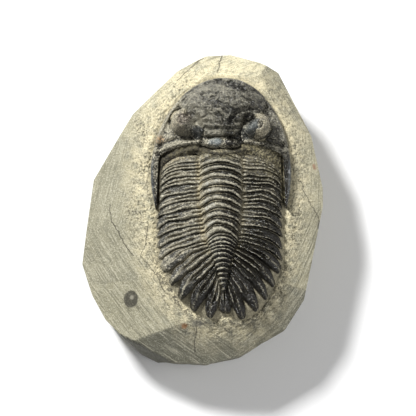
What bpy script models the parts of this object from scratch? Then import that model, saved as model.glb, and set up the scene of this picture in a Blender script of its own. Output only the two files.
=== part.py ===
"""A trilobite fossil on its block of ground limestone.

The block is a slab of pale limestone with a sawn base, upright sides and broad ground
facets that fall away from the fossil. The trilobite lies on it back uppermost: a head
shield (cephalon) with two turret eyes and long genal spines, eleven thoracic segments,
and a tail shield (pygidium) with five pairs of blunt spines and a median one. Each of
those plates is a separate calcite shell over a core of limestone.

All working sizes are in millimetres; the meshes are written in metres.
+X is to the right, +Y is towards the head and +Z is up out of the rock.
"""

import math

import bmesh
import bpy
import numpy as np

MM = 0.001

# The block
BED_Z = 18.0  # the crown of the block, level with the fossil's margin
BLOCK_TOP_Z = 30.0  # height of the rough block before its facets are ground
POCKET_DEPTH = 1.2  # how deep the fossil's margin sits in the rock
CORE_FOOT_Z = BED_Z - POCKET_DEPTH - 1.0  # how deep the rock inside the fossil is joined to the block
SHELL = 1.0  # thickness of the fossil's plates, without their ribs
GAP = 0.3  # clearance between touching pieces
WALL_LEAN = 5.0  # degrees by which the sides draw in towards the base
SIDE_LEVEL = BED_Z - 4.0  # height at which the distances of the sides are taken
ROUGH_WIDTH = 120.0  # width and length of the rough block

# Side faces of the block: (compass angle in degrees from +X, distance from the origin).
SIDES = [
    (0, 28.8), (12.6, 29.2), (26.9, 31.1), (62, 37.6), (72, 37.8), (94, 37.0),
    (118.3, 32.3), (135, 27.9), (149, 26.0), (172.1, 26.8), (197.5, 31.5), (208.1, 33.1),
    (225.5, 35.3), (243, 37.6), (267, 37.1), (282.9, 36.5), (300.8, 35.1), (327.9, 32.2),
    (348.7, 28.1),
]
# Ground facets: (compass angle, distance at which each leaves the crown, slope in degrees).
FACETS = [
    (90, 31.8, 31), (128, 24.3, 28), (149, 18.5, 18), (172, 13.6, 16), (200, 14.5, 16),
    (225, 18.4, 20), (255, 25.3, 31), (300, 27.0, 29), (322, 24.2, 26), (345, 20.9, 24),
    (5, 21.6, 24), (28, 27.0, 30),
]
# The steep facet low on one corner: compass angle, distance and height of its foot, slope.
CORNER_FACET = (243, 36.5, 4.0, 84)

# The trilobite's midline, which bows a little to one side
MIDLINE_X = 4.4
MIDLINE_BOW = 0.0012
MIDLINE_BOW_Y = 6.0

# Thorax and tail
SEGMENTS = 11
TAIL_RIBS = 5.5  # five pairs of ribs and half of the median one
LEFT_FLARE = 0.065  # the left ribs reach a little further out behind the spine
AXIS_SHARE = 0.36  # share of each half rib that is the axial ring
TAIL_CENTRE_Y = -12.0
TIP_Z = 0.5
RIB_RELIEF = 0.45

# Head shield
HEAD_HALF_WIDTH = 16.8
HEAD_LENGTH = 23.3
HEAD_WIDEST_Y = 8.0
SPINE_TIP = (15.7, -0.5)
GENAL_CORNER = (14.9, 12.4)
EYE_X, EYE_Y = 8.9, 19.9
EYE_HALF_WIDTH, EYE_HALF_LENGTH, EYE_TOP = 3.2, 3.3, 7.0


def smooth_step(low, high, x):
    t = np.clip((x - low) / (high - low), 0.0, 1.0)
    return t * t * (3 - 2 * t)


def bump(x, centre, half_width):
    """1 at centre, falling smoothly to 0 at half_width on both sides."""
    return 1 - smooth_step(0.0, 1.0, np.abs(x - centre) / half_width)


def dome(q, power=0.5):
    """1 where q is 0, 0 where q is 1 or more."""
    return np.clip(1 - q * q, 0.0, 1.0) ** power


def midline(y):
    return MIDLINE_X + MIDLINE_BOW * (y - MIDLINE_BOW_Y) ** 2


def direction(degrees):
    return math.cos(math.radians(degrees)), math.sin(math.radians(degrees))


# ---------------------------------------------------------------- thorax and tail


def ring_y(rib):
    """Where a rib crosses the midline. rib counts segments from the neck; the tail starts at 11."""
    tail = np.maximum(rib - SEGMENTS, 0.0)
    thorax = np.minimum(rib, SEGMENTS)
    neck_to_tail = 13.3 - 1.58 * thorax - 0.0232 * thorax**2
    return neck_to_tail - 2.05 * tail - 0.09 * tail**2


def ring_arch(rib):
    """How far the ring's ends lie behind its middle."""
    tail = np.clip((rib - SEGMENTS) / TAIL_RIBS, 0.0, 1.0)
    return (1.2 + 1.0 * smooth_step(0.0, 8.0, rib)) * (1 - tail) + 0.15 * tail


def axis_half_width(rib):
    tail = np.clip((rib - SEGMENTS) / TAIL_RIBS, 0.0, 1.0)
    thorax = 5.2 - 1.55 * smooth_step(5.0, 13.0, rib)
    return thorax * (1 - 0.62 * smooth_step(0.0, 1.0, tail)) * (1 - tail**9)


def tip_point(rib):
    """The free end of a rib."""
    thorax = np.minimum(rib, SEGMENTS)
    tail = np.maximum(rib - SEGMENTS, 0.0)
    x = 14.3 + 0.55 * np.sin(math.pi * thorax / SEGMENTS)
    y = 8.8 - 1.32 * thorax - 0.066 * thorax**2
    angle = np.radians(7.0 + 15.1 * tail)
    reach = 13.8 + 1.6 * smooth_step(1.5, 4.5, tail) - 1.7 * smooth_step(4.8, 5.5, tail)
    in_tail = smooth_step(0.0, 0.8, tail)
    y -= 2.6 * np.minimum(tail, 0.8)
    fan_x, fan_y = reach * np.cos(angle), TAIL_CENTRE_Y - reach * np.sin(angle)
    return x * (1 - in_tail) + fan_x * in_tail, y * (1 - in_tail) + fan_y * in_tail


def bezier(points, t):
    a, b, c, d = points
    s = 1 - t
    return a * s**3 + 3 * b * s * s * t + 3 * c * s * t * t + d * t**3


def body_point(rib, across, side):
    """Plan position, from the midline: across is 0 on it and 1 at the tip, side is 1 or -1."""
    half, y_mid, arch = axis_half_width(rib), ring_y(rib), ring_arch(rib)
    on_ring = np.clip(across / AXIS_SHARE, 0.0, 1.0)
    out = np.clip((across - AXIS_SHARE) / (1 - AXIS_SHARE), 0.0, 1.0)
    tip_x, tip_y = tip_point(rib)
    foot_x, foot_y = half, y_mid - arch
    tail = np.clip((rib - SEGMENTS) / TAIL_RIBS, 0.0, 1.0)
    start = np.radians(4.0 * smooth_step(6.0, 11.0, rib) + 86.0 * tail)
    end = np.radians(54.0 - 8.0 * smooth_step(0.0, 11.0, rib) + 44.0 * tail)
    length = np.hypot(tip_x - foot_x, tip_y - foot_y)
    bx = (foot_x, foot_x + 0.36 * length * np.cos(start), tip_x - 0.4 * length * np.cos(end), tip_x)
    by = (foot_y, foot_y - 0.36 * length * np.sin(start), tip_y + 0.4 * length * np.sin(end), tip_y)
    on_axis = across <= AXIS_SHARE
    x = np.where(on_axis, half * on_ring, bezier(bx, out))
    y = np.where(on_axis, y_mid - arch * on_ring**2, bezier(by, out))
    flare = LEFT_FLARE * smooth_step(4.5, 8.0, rib) * (1 - smooth_step(13.5, 16.0, rib))
    x = np.where(side < 0, x * (1 + flare * out), x)
    return side * x, y


def body_height(rib, across):
    """Height of the smooth body, without its ribs, above the crown."""
    tail = smooth_step(0.0, 1.0, np.clip((rib - SEGMENTS) / TAIL_RIBS, 0.0, 1.0))
    foot = 3.1 + 0.4 * np.sin(math.pi * np.clip(rib / SEGMENTS, 0.0, 1.0)) - 1.7 * tail
    ring = (2.0 - 0.9 * tail) * (1 - np.clip(across / AXIS_SHARE, 0.0, 1.0) ** 2.4) ** 0.7
    out = np.clip((across - AXIS_SHARE) / (1 - AXIS_SHARE), 0.0, 1.0)
    return TIP_Z + (foot - TIP_Z) * (1 - out**2.6) ** 0.85 + ring


def rib_relief(rib, across):
    """Two bands on each rib, which merge at the tip, and one raised ring on the axis."""
    part = rib - np.floor(rib)
    on_axis = 1 - smooth_step(0.9 * AXIS_SHARE, 1.05 * AXIS_SHARE, across)
    ring = bump(part, 0.5, 0.5)
    tip = smooth_step(0.75, 0.95, across)
    bands = np.maximum(bump(part, 0.26, 0.26), bump(part, 0.74, 0.26))
    pleura = bands * (1 - tip) + bump(part, 0.5, 0.55) * tip
    return RIB_RELIEF * (ring * on_axis + pleura * (1 - on_axis))


# ---------------------------------------------------------------- head shield


def head_edges(w):
    """Outer and inner edge of the horseshoe-shaped head shield at w, -1 and 1 at the spine tips."""
    side, turn = np.sign(w), np.abs(w)
    spine = 0.24  # share of each half that is spine
    on_spine = np.clip((1 - turn) / spine, 0.0, 1.0)
    on_head = np.clip((1 - spine - turn) / (1 - spine), 0.0, 1.0)
    angle = on_head * math.pi / 2
    outer_x = HEAD_HALF_WIDTH * np.cos(angle)
    outer_y = HEAD_WIDEST_Y + HEAD_LENGTH * np.sin(angle)
    spine_x = SPINE_TIP[0] + (HEAD_HALF_WIDTH - SPINE_TIP[0]) * np.sin(on_spine * math.pi / 2)
    spine_y = SPINE_TIP[1] + (HEAD_WIDEST_Y - SPINE_TIP[1]) * on_spine
    outer_x = np.where(turn > 1 - spine, spine_x, outer_x)
    outer_y = np.where(turn > 1 - spine, spine_y, outer_y)
    neck_x = GENAL_CORNER[0] * (1 - on_head)
    neck_y = GENAL_CORNER[1] + 2.2 * (1 - (1 - on_head) ** 3.2)
    inner_x = SPINE_TIP[0] - 0.3 + (GENAL_CORNER[0] - SPINE_TIP[0] + 0.3) * on_spine
    inner_y = SPINE_TIP[1] + 0.4 + (GENAL_CORNER[1] - SPINE_TIP[1] - 0.4) * on_spine**0.9
    inner_x = np.where(turn > 1 - spine, inner_x, neck_x)
    inner_y = np.where(turn > 1 - spine, inner_y, neck_y)
    return (side * outer_x, outer_y), (side * inner_x, inner_y)


def glabella_half_width(y):
    back = 3.9 + 6.4 * smooth_step(18.2, 25.2, y)
    return back * dome(np.clip((y - 25.2) / 5.5, 0.0, 1.0), 0.5) + 1e-6


def on_spine(y):
    return 1 - smooth_step(9.0, 13.0, y)


def head_form(x, y, swell=1.0, roundness=0.5):
    """Height above the crown of the head without its eyes, border and furrows."""
    radius = np.clip(np.hypot(x / HEAD_HALF_WIDTH, (y - HEAD_WIDEST_Y) / HEAD_LENGTH), 0.0, 1.0)
    cheeks = TIP_Z + 3.0 * dome(radius, 0.75)
    glabella = dome(np.clip(np.abs(x) / glabella_half_width(y), 0.0, 1.0), roundness)
    glabella *= dome(np.clip((y - 21.5) / 9.2, 0.0, 1.0), roundness)
    height = cheeks + swell * (1.5 + 1.5 * smooth_step(17.0, 24.0, y)) * glabella
    across_spine = np.clip(np.abs(np.abs(x) - 15.9) / 1.5, 0.0, 1.0)
    spine = TIP_Z + 1.0 * dome(across_spine, 0.7)
    return height * (1 - on_spine(y)) + spine * on_spine(y)


def head_hollow(x, y):
    """Height above the crown of the head shell's lower face, flatter and softer than its top."""
    return head_form(x, y, swell=0.75, roundness=1.2) - SHELL


def head_height(x, y):
    """Height of the head shield above the crown. x is from the midline."""
    height = head_form(x, y)
    radius = np.hypot(x / HEAD_HALF_WIDTH, (y - HEAD_WIDEST_Y) / HEAD_LENGTH)
    relief = 0.35 * bump(radius, 0.955, 0.06)
    relief -= 0.5 * bump(y, 16.9, 0.7) * (np.abs(x) < 4.5)
    eye = np.hypot((np.abs(x) - EYE_X) / EYE_HALF_WIDTH, (y - EYE_Y) / EYE_HALF_LENGTH)
    turret = EYE_TOP - height
    relief += np.maximum(turret, 0.0) * (1 - smooth_step(0.45, 1.15, eye))
    border_y = GENAL_CORNER[1] + 2.2 * (1 - np.clip(np.abs(x) / GENAL_CORNER[0], 0.0, 1.0) ** 3.2)
    relief += 0.5 * bump(y, border_y + 0.8, 0.8)
    relief -= 0.4 * bump(y, border_y + 2.3, 0.8) * (np.abs(x) > 4.0)
    return height + relief * (1 - on_spine(y))


# ---------------------------------------------------------------- building tools


def clear_scene():
    for old in list(bpy.data.objects):
        bpy.data.objects.remove(old)


def material(name, colour, roughness):
    made = bpy.data.materials.new(name)
    made.use_nodes = True
    shader = made.node_tree.nodes["Principled BSDF"]
    shader.inputs["Base Color"].default_value = (*colour, 1.0)
    shader.inputs["Roughness"].default_value = roughness
    shader.inputs["Metallic"].default_value = 0.0
    return made


def add_object(name, mesh, surface=None):
    made = bpy.data.objects.new(name, mesh)
    bpy.context.scene.collection.objects.link(made)
    if surface is not None:
        mesh.materials.append(surface)
        mesh.shade_smooth()
        mesh.set_sharp_from_angle(angle=math.radians(38))
    return made


def mesh_from(name, rings, faces):
    mesh = bpy.data.meshes.new(name)
    mesh.from_pydata([tuple(c * MM for c in point) for point in rings], [], faces)
    shape = bmesh.new()
    shape.from_mesh(mesh)
    bmesh.ops.remove_doubles(shape, verts=shape.verts, dist=0.01 * MM)
    bmesh.ops.recalc_face_normals(shape, faces=shape.faces)
    shape.to_mesh(mesh)
    shape.free()
    return mesh


def grid_faces(rows, columns, offset=0):
    return [
        (
            offset + r * columns + c,
            offset + r * columns + c + 1,
            offset + (r + 1) * columns + c + 1,
            offset + (r + 1) * columns + c,
        )
        for r in range(rows - 1)
        for c in range(columns - 1)
    ]


def close_sheet(x, y, top, low, folded=False):
    """A closed sheet from grids of plan points, from the midline, and of its two heights.

    A folded sheet's first row closes up on itself along the midline, so it gets no rim there.
    """
    rows, columns = x.shape
    placed_x = x + midline(y)
    points = list(zip(placed_x.ravel(), y.ravel(), top.ravel()))
    points += list(zip(placed_x.ravel(), y.ravel(), low.ravel()))
    count = rows * columns
    faces = grid_faces(rows, columns) + grid_faces(rows, columns, count)
    first_row = list(range(columns))
    last_row = [count - columns + c for c in range(columns)]
    first_column = [r * columns for r in range(rows)]
    last_column = [r * columns + columns - 1 for r in range(rows)]
    rims = [last_row, first_column, last_column]
    if not folded:
        rims.append(first_row)
    for rim in rims:
        faces += [(a, b, b + count, a + count) for a, b in zip(rim, rim[1:])]
    return points, faces


# ---------------------------------------------------------------- the pieces


def fossil_outline(grow, spacing=0.04):
    """The fossil's outline in plan, anticlockwise from the right spine tip, grown outwards."""
    w = np.arange(1.0, -1.0 - spacing / 2, -spacing)
    (head_x, head_y), _ = head_edges(w)
    ribs = np.arange(5.9, SEGMENTS + TAIL_RIBS, 0.55)
    left_x, left_y = body_point(ribs, np.ones_like(ribs), -1)
    right_x, right_y = body_point(ribs[::-1], np.ones_like(ribs), 1)
    x = np.concatenate([head_x, left_x, right_x])
    y = np.concatenate([head_y, left_y, right_y])
    centre_y = 2.0
    reach = np.hypot(x, y - centre_y)
    x, y = x * (1 + grow / reach), centre_y + (y - centre_y) * (1 + grow / reach)
    return x + midline(y), y


def prism(name, x, y, low, high):
    """An upright prism on a closed outline."""
    count = len(x)
    points = [(a, b, low) for a, b in zip(x, y)] + [(a, b, high) for a, b in zip(x, y)]
    faces = [tuple(range(count - 1, -1, -1)), tuple(range(count, 2 * count))]
    faces += [(i, (i + 1) % count, count + (i + 1) % count, count + i) for i in range(count)]
    return add_object(name, mesh_from(name, points, faces))


def slice_off(shape, point, normal):
    """Grinds away what lies beyond a plane, and closes the cut with a flat face."""
    whole = shape.verts[:] + shape.edges[:] + shape.faces[:]
    centre = tuple(c * MM for c in point)
    bmesh.ops.bisect_plane(shape, geom=whole, plane_co=centre, plane_no=normal, clear_outer=True)
    rim = [edge for edge in shape.edges if edge.is_boundary]
    if rim:
        bmesh.ops.contextual_create(shape, geom=rim)


def ground_block():
    """A rough block cut down by its side faces and its ground facets."""
    shape = bmesh.new()
    bmesh.ops.create_cube(shape, size=1.0)
    bmesh.ops.scale(shape, vec=(ROUGH_WIDTH * MM, ROUGH_WIDTH * MM, BLOCK_TOP_Z * MM), verts=shape.verts)
    bmesh.ops.translate(shape, vec=(0, 0, BLOCK_TOP_Z * MM / 2), verts=shape.verts)
    slice_off(shape, (0, 0, BED_Z), (0, 0, 1))
    lean = math.radians(WALL_LEAN)
    for angle, reach in SIDES:
        nx, ny = direction(angle)
        normal = (nx * math.cos(lean), ny * math.cos(lean), -math.sin(lean))
        slice_off(shape, (nx * reach, ny * reach, SIDE_LEVEL), normal)
    for angle, reach, slope in FACETS:
        nx, ny = direction(angle)
        tilt = math.radians(slope)
        normal = (nx * math.sin(tilt), ny * math.sin(tilt), math.cos(tilt))
        slice_off(shape, (nx * reach, ny * reach, BED_Z), normal)
    angle, reach, foot_z, slope = CORNER_FACET
    nx, ny = direction(angle)
    tilt = math.radians(slope)
    slice_off(
        shape,
        (nx * reach, ny * reach, foot_z),
        (nx * math.sin(tilt), ny * math.sin(tilt), math.cos(tilt)),
    )
    mesh = bpy.data.meshes.new("limestone_block")
    bmesh.ops.recalc_face_normals(shape, faces=shape.faces)
    shape.to_mesh(mesh)
    shape.free()
    return mesh


def body_core():
    """The rock that fills the thorax and tail, below their shells."""
    ribs = np.concatenate([[-0.35], np.arange(1, SEGMENTS), np.arange(SEGMENTS, SEGMENTS + 5.2, 0.6)])
    across = np.concatenate([np.linspace(0, AXIS_SHARE, 5)[:-1], np.linspace(AXIS_SHARE, 0.94, 6)])
    rib, reach = ribs[:, None], np.concatenate([-across[::-1], across[1:]])[None, :]
    rib = rib + 0 * reach
    side = np.sign(reach + 1e-9)
    x, y = body_point(rib, np.abs(reach), side)
    top = BED_Z + body_height(rib, np.abs(reach)) - SHELL - GAP
    floor = np.full_like(top, CORE_FOOT_Z)
    return add_object("body_core_tool", mesh_from("body_core_tool", *close_sheet(x, y, top, floor)))


def head_core():
    """The rock that fills the head shield, below its shell."""
    w = np.linspace(0.72, -0.72, 31)
    (outer_x, outer_y), (inner_x, inner_y) = head_edges(w)
    share = np.linspace(0.0, 0.93, 13)[:, None]
    x = inner_x * (1 - share) + outer_x * share
    y = inner_y * (1 - share) + outer_y * share
    top = BED_Z + head_hollow(x, y) - GAP
    floor = np.full_like(top, CORE_FOOT_Z)
    return add_object("head_core_tool", mesh_from("head_core_tool", *close_sheet(x, y, top, floor)))


def as_tool(made):
    made.hide_render = True
    made.display_type = "WIRE"
    return made


def boolean(target, tool, operation):
    modifier = target.modifiers.new(tool.name, "BOOLEAN")
    modifier.operation = operation
    modifier.object = tool
    modifier.solver = "EXACT"


def build_block(limestone):
    block = add_object("limestone_block", ground_block(), limestone)
    pocket_x, pocket_y = fossil_outline(0.4)
    pocket = as_tool(prism("pocket_tool", pocket_x, pocket_y, BED_Z - POCKET_DEPTH, BLOCK_TOP_Z))
    boolean(block, pocket, "DIFFERENCE")
    boolean(block, as_tool(body_core()), "UNION")
    boolean(block, as_tool(head_core()), "UNION")
    return block


def build_segment(number, shell):
    """One thoracic segment: an axial ring with a pleura on each side."""
    side = np.concatenate([np.linspace(0, AXIS_SHARE, 5)[:-1], np.linspace(AXIS_SHARE, 1, 6)])
    across = np.concatenate([-side[::-1], side[1:]])
    parts = np.array([0.0, 0.25, 0.5, 0.75, 1.0])
    reach = np.abs(across)[None, :]
    # The slit between neighbours is wider in rib units where the ribs crowd together.
    slit = 0.06 + 0.08 * reach * (1 - number / (SEGMENTS + 4))
    part = slit + (1 - 2 * slit) * parts[:, None]
    rib = number - 1 + part
    blunt = 1 - 0.09 * np.abs(2 * parts[:, None] - 1) ** 3
    spread = np.where(reach > AXIS_SHARE, AXIS_SHARE + (reach - AXIS_SHARE) * blunt, reach)
    x, y = body_point(rib, spread, np.sign(across + 1e-9)[None, :])
    form = BED_Z + body_height(rib, spread)
    points, faces = close_sheet(x, y, form + rib_relief(rib, spread), form - SHELL)
    name = f"thoracic_segment_{number:02d}"
    return add_object(name, mesh_from(name, points, faces), shell)


def build_pygidium(shell):
    """The tail shield: a tapering axis and five pairs of ribs that end in blunt spines."""
    parts = np.array([0.0, 0.14, 0.32, 0.5, 0.68, 0.86])
    columns = np.concatenate([SEGMENTS + k + parts for k in range(6)])
    columns = columns[columns <= SEGMENTS + TAIL_RIBS + 1e-9]
    columns[0] += 0.07
    rows = np.concatenate([np.linspace(0, AXIS_SHARE, 4)[:-1], np.linspace(AXIS_SHARE, 1, 7)])
    rib, across = columns[None, :], rows[:, None]
    part = rib - np.floor(rib)
    notch = 0.34 * np.abs(2 * part - 1) ** 3
    spread = np.where(across > AXIS_SHARE, AXIS_SHARE + (across - AXIS_SHARE) * (1 - notch), across)
    rib = rib + 0 * spread
    right_x, right_y = body_point(rib, spread, 1)
    left_x, left_y = body_point(rib, spread, -1)
    form = BED_Z + body_height(rib, spread)
    top = form + rib_relief(rib, spread)
    x = np.concatenate([right_x, left_x[:, -2::-1]], axis=1)
    y = np.concatenate([right_y, left_y[:, -2::-1]], axis=1)
    top = np.concatenate([top, top[:, -2::-1]], axis=1)
    low = np.concatenate([form, form[:, -2::-1]], axis=1) - SHELL
    points, faces = close_sheet(x, y, top, low, folded=True)
    return add_object("pygidium", mesh_from("pygidium", points, faces), shell)


def build_cephalon(shell):
    """The head shield, as a horseshoe whose arms run back into the genal spines."""
    across_spines = np.linspace(1.0, 0.8, 6)[:-1]
    over_head = np.linspace(0.8, 0.0, 30)
    half = np.concatenate([across_spines, over_head])
    w = np.concatenate([half, -half[-2::-1]])
    (outer_x, outer_y), (inner_x, inner_y) = head_edges(w)
    share = np.linspace(0.0, 1.0, 19)[:, None]
    x = inner_x * (1 - share) + outer_x * share
    y = inner_y * (1 - share) + outer_y * share
    points, faces = close_sheet(x, y, BED_Z + head_height(x, y), BED_Z + head_hollow(x, y))
    return add_object("cephalon", mesh_from("cephalon", points, faces), shell)


def centre_over_origin(block):
    """Moves everything so that the block's outline is centred on the origin."""
    xs = [corner.co.x for corner in block.data.vertices]
    ys = [corner.co.y for corner in block.data.vertices]
    for made in bpy.data.objects:
        made.location.x -= (min(xs) + max(xs)) / 2
        made.location.y -= (min(ys) + max(ys)) / 2


def main():
    clear_scene()
    limestone = material("limestone", (0.55, 0.52, 0.42), 0.85)
    shell = material("fossil_shell", (0.06, 0.058, 0.052), 0.45)
    block = build_block(limestone)
    build_cephalon(shell)
    for number in range(1, SEGMENTS + 1):
        build_segment(number, shell)
    build_pygidium(shell)
    centre_over_origin(block)


main()
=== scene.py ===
"""The looks of a trilobite fossil on its block of ground limestone.

Every piece is made again in fine detail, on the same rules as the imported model: a body
whose ribs are counted from the neck (0) through eleven thoracic segments and on into the
tail, a horseshoe-shaped head, and a block cut by upright sides and sloping ground facets.
All working sizes are in millimetres, from an origin near the middle of the block. PLACE_X and
PLACE_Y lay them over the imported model, and the meshes are written in metres.
"""

import math

import bmesh
import bpy
import numpy as np
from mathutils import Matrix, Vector
from mathutils.bvhtree import BVHTree


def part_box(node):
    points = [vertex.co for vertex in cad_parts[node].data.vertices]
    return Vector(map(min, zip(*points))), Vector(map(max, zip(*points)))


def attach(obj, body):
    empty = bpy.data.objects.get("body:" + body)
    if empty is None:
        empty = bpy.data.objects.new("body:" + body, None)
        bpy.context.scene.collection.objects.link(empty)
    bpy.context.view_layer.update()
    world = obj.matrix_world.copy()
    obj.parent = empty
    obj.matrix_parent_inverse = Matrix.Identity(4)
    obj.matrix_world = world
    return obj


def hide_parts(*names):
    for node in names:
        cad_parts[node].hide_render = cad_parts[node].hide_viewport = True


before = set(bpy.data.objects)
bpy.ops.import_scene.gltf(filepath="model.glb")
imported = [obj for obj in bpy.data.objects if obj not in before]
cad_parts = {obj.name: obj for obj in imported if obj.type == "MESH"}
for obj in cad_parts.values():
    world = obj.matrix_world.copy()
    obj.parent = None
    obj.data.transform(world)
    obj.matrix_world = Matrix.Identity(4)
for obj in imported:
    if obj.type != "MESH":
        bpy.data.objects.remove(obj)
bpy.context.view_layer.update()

MM = 0.001

# The block
BED_Z = 18.0
WALL_LEAN = 5.0
SIDES = [
    (0, 28.8), (12.6, 29.2), (26.9, 31.1), (62, 37.6), (72, 37.8), (94, 37.0),
    (118.3, 32.3), (135, 27.9), (149, 26.0), (172.1, 26.8), (197.5, 31.5), (208.1, 33.1),
    (225.5, 35.3), (243, 37.6), (267, 37.1), (282.9, 36.5), (300.8, 35.1), (327.9, 32.2), (348.7, 28.1),
]
FACETS = [
    (90, 31.8, 31), (128, 24.3, 28), (149, 18.5, 18), (172, 13.6, 16), (200, 14.5, 16),
    (225, 18.4, 20), (255, 25.3, 31), (300, 27.0, 29), (322, 24.2, 26), (345, 20.9, 24),
    (5, 21.6, 24), (28, 27.0, 30),
]
CORNER_FACET = (243, 36.5, 4.0, 84)
# Finish of the crown, each facet and the corner: turn of the wheel marks in degrees, darkness (partly
# the rock's own tone, partly painted shade on the faces turned from the lamp), scoring
FACET_FINISH = np.array([
    (50, 0.05, 0.2), (22, 0.0, 0.7), (4, 0.1, 0.6), (8, 0.35, 0.5), (-6, 0.7, 0.5), (12, 0.7, 0.7),
    (-8, 0.4, 0.8), (-20, 1.3, 1.0), (6, 1.35, 1.0), (4, 1.35, 1.0), (-9, 0.55, 0.9), (-7, 0.4, 0.6),
    (6, 0.85, 0.8), (90, 2.0, 1.0),
])
EDGE_WEAR = 0.12  # how far the edges between the facets are worn round
CORE_GAP = 0.6  # the rock inside the fossil stays this far under its plates

# The trilobite
MIDLINE_X = 4.4
MIDLINE_BOW = 0.0012
MIDLINE_BOW_Y = 6.0
SEGMENTS = 11
TAIL_RIBS = 5.5
TAIL_RINGS = 13
LEFT_FLARE = 0.065
AXIS_SHARE = 0.36
TAIL_CENTRE_Y = -12.0
TIP_Z = 0.5
SUNK_Z = BED_Z - 1.6  # where the pieces end, inside the rock
HEAD_HALF_WIDTH = 16.8
HEAD_LENGTH = 23.3
HEAD_WIDEST_Y = 8.0
SPINE_TIP = (15.7, -0.5)
NECK_BULGE = 1.1  # how far the neck ring stands back beyond the hind border
GENAL_CORNER = (14.9, 12.4)
# The eyes sit a little unevenly, as the head was pressed
LEFT_EYE, RIGHT_EYE = (-9.4, 20.1), (8.8, 19.0)
EYE_HALF_WIDTH, EYE_HALF_LENGTH, EYE_TOP = 2.8, 3.1, 7.0
HUB_Y = 2.0  # the block's fan of grid lines starts on the midline here


# ---------------------------------------------------------------- curves and patterns


def share_of(x):
    """The value, kept between 0 and 1."""
    return np.clip(x, 0.0, 1.0)


def ease(low, high, x):
    """0 at low and 1 at high, smooth between."""
    t = share_of((x - low) / (high - low))
    return t * t * (3 - 2 * t)


def bump(x, centre, half_width):
    """1 at centre, falling smoothly to 0 at half_width on both sides."""
    return 1 - ease(0.0, 1.0, np.abs(x - centre) / half_width)


def dome(q, power=0.5):
    """1 where q is 0, 0 where q is 1 or more."""
    return share_of(1 - q * q) ** power


def soft_min(values, blend):
    """The lowest of several surfaces, with their edges worn round over about blend."""
    stack = np.stack(values)
    low = stack.min(axis=0)
    return low - blend * np.log(np.exp(-(stack - low) / blend).sum(axis=0))


def chance(ix, iy, iz, seed):
    """A repeatable random number from 0 to 1 for each cell of a lattice."""
    h = (ix * 73856093) ^ (iy * 19349663) ^ (iz * 83492791) ^ (seed * 40503)
    h = (h ^ (h >> 13)) & 0xFFFFFFFF
    h = (h * 1274126177) & 0xFFFFFFFF
    h = (h ^ (h >> 16)) & 0xFFFFFF
    return h / 0xFFFFFF


def swirl(x, y, size, seed, octaves=3, z=0.0):
    """Smooth noise from -1 to 1, with features about size across."""
    total, weight = 0.0, 0.0
    for octave in range(octaves):
        strength = 0.5**octave
        p = [np.asarray(c, dtype=float) / size * 2**octave + 17.3 * octave for c in (x, y, z)]
        cell = [np.floor(c).astype(np.int64) for c in p]
        part = [c - i for c, i in zip(p, cell)]
        part = [t * t * (3 - 2 * t) for t in part]
        value = 0.0
        for dx in (0, 1):
            for dy in (0, 1):
                for dz in (0, 1):
                    near_x = part[0] if dx else 1 - part[0]
                    near_y = part[1] if dy else 1 - part[1]
                    near_z = part[2] if dz else 1 - part[2]
                    corner = chance(cell[0] + dx, cell[1] + dy, cell[2] + dz, seed + octave)
                    value = value + corner * near_x * near_y * near_z
        total = total + strength * (2 * value - 1)
        weight += strength
    return total / weight


def grains(x, y, size, seed):
    """Distance, in sizes, to the nearest of scattered grains, and that grain's own number."""
    px, py = np.asarray(x, dtype=float) / size, np.asarray(y, dtype=float) / size
    ix, iy = np.floor(px).astype(np.int64), np.floor(py).astype(np.int64)
    best = np.full(px.shape, 9.0)
    own = np.zeros(px.shape)
    for dx in (-1, 0, 1):
        for dy in (-1, 0, 1):
            gx, gy = ix + dx, iy + dy
            seat_x = gx + 0.1 + 0.8 * chance(gx, gy, 1, seed)
            seat_y = gy + 0.1 + 0.8 * chance(gx, gy, 2, seed)
            away = np.hypot(seat_x - px, seat_y - py)
            nearer = away < best
            best = np.where(nearer, away, best)
            own = np.where(nearer, chance(gx, gy, 3, seed), own)
    return best, own


def midline(y):
    """How far the bowed midline stands to the right of the origin."""
    return MIDLINE_X + MIDLINE_BOW * (y - MIDLINE_BOW_Y) ** 2


def direction(degrees):
    """The plan direction of a compass angle, counted from +X."""
    return math.cos(math.radians(degrees)), math.sin(math.radians(degrees))


# ---------------------------------------------------------------- the body's rule


def out_share(across):
    """0 at the axial furrow and 1 at the tip."""
    return share_of((across - AXIS_SHARE) / (1 - AXIS_SHARE))


def on_ring_share(across):
    """1 on the axial ring, falling to 0 just beyond its furrow."""
    return 1 - ease(0.84 * AXIS_SHARE, 1.08 * AXIS_SHARE, across)


def tail_share(rib):
    """0 up to the last segment and 1 at the end of the tail."""
    return share_of((rib - SEGMENTS) / TAIL_RIBS)


def ring_y(rib):
    """Where each ring crosses the midline."""
    tail = np.maximum(rib - SEGMENTS, 0.0)
    thorax = np.minimum(rib, SEGMENTS)
    neck_to_tail = 13.3 - 1.58 * thorax - 0.0232 * thorax**2
    return neck_to_tail - 2.05 * tail - 0.09 * tail**2


def ring_arch(rib):
    """How far a ring bows forwards in the middle."""
    tail = tail_share(rib)
    return (1.2 + 1.0 * ease(0.0, 8.0, rib)) * (1 - tail) ** 2.6 + 0.15 * tail


def axis_half_width(rib):
    """Half the width of the axis."""
    tail = tail_share(rib)
    thorax = 5.2 - 1.55 * ease(5.0, 13.0, rib)
    return thorax * (1 - 0.62 * ease(0.0, 0.8, tail)) * (1 - tail**9)


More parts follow.
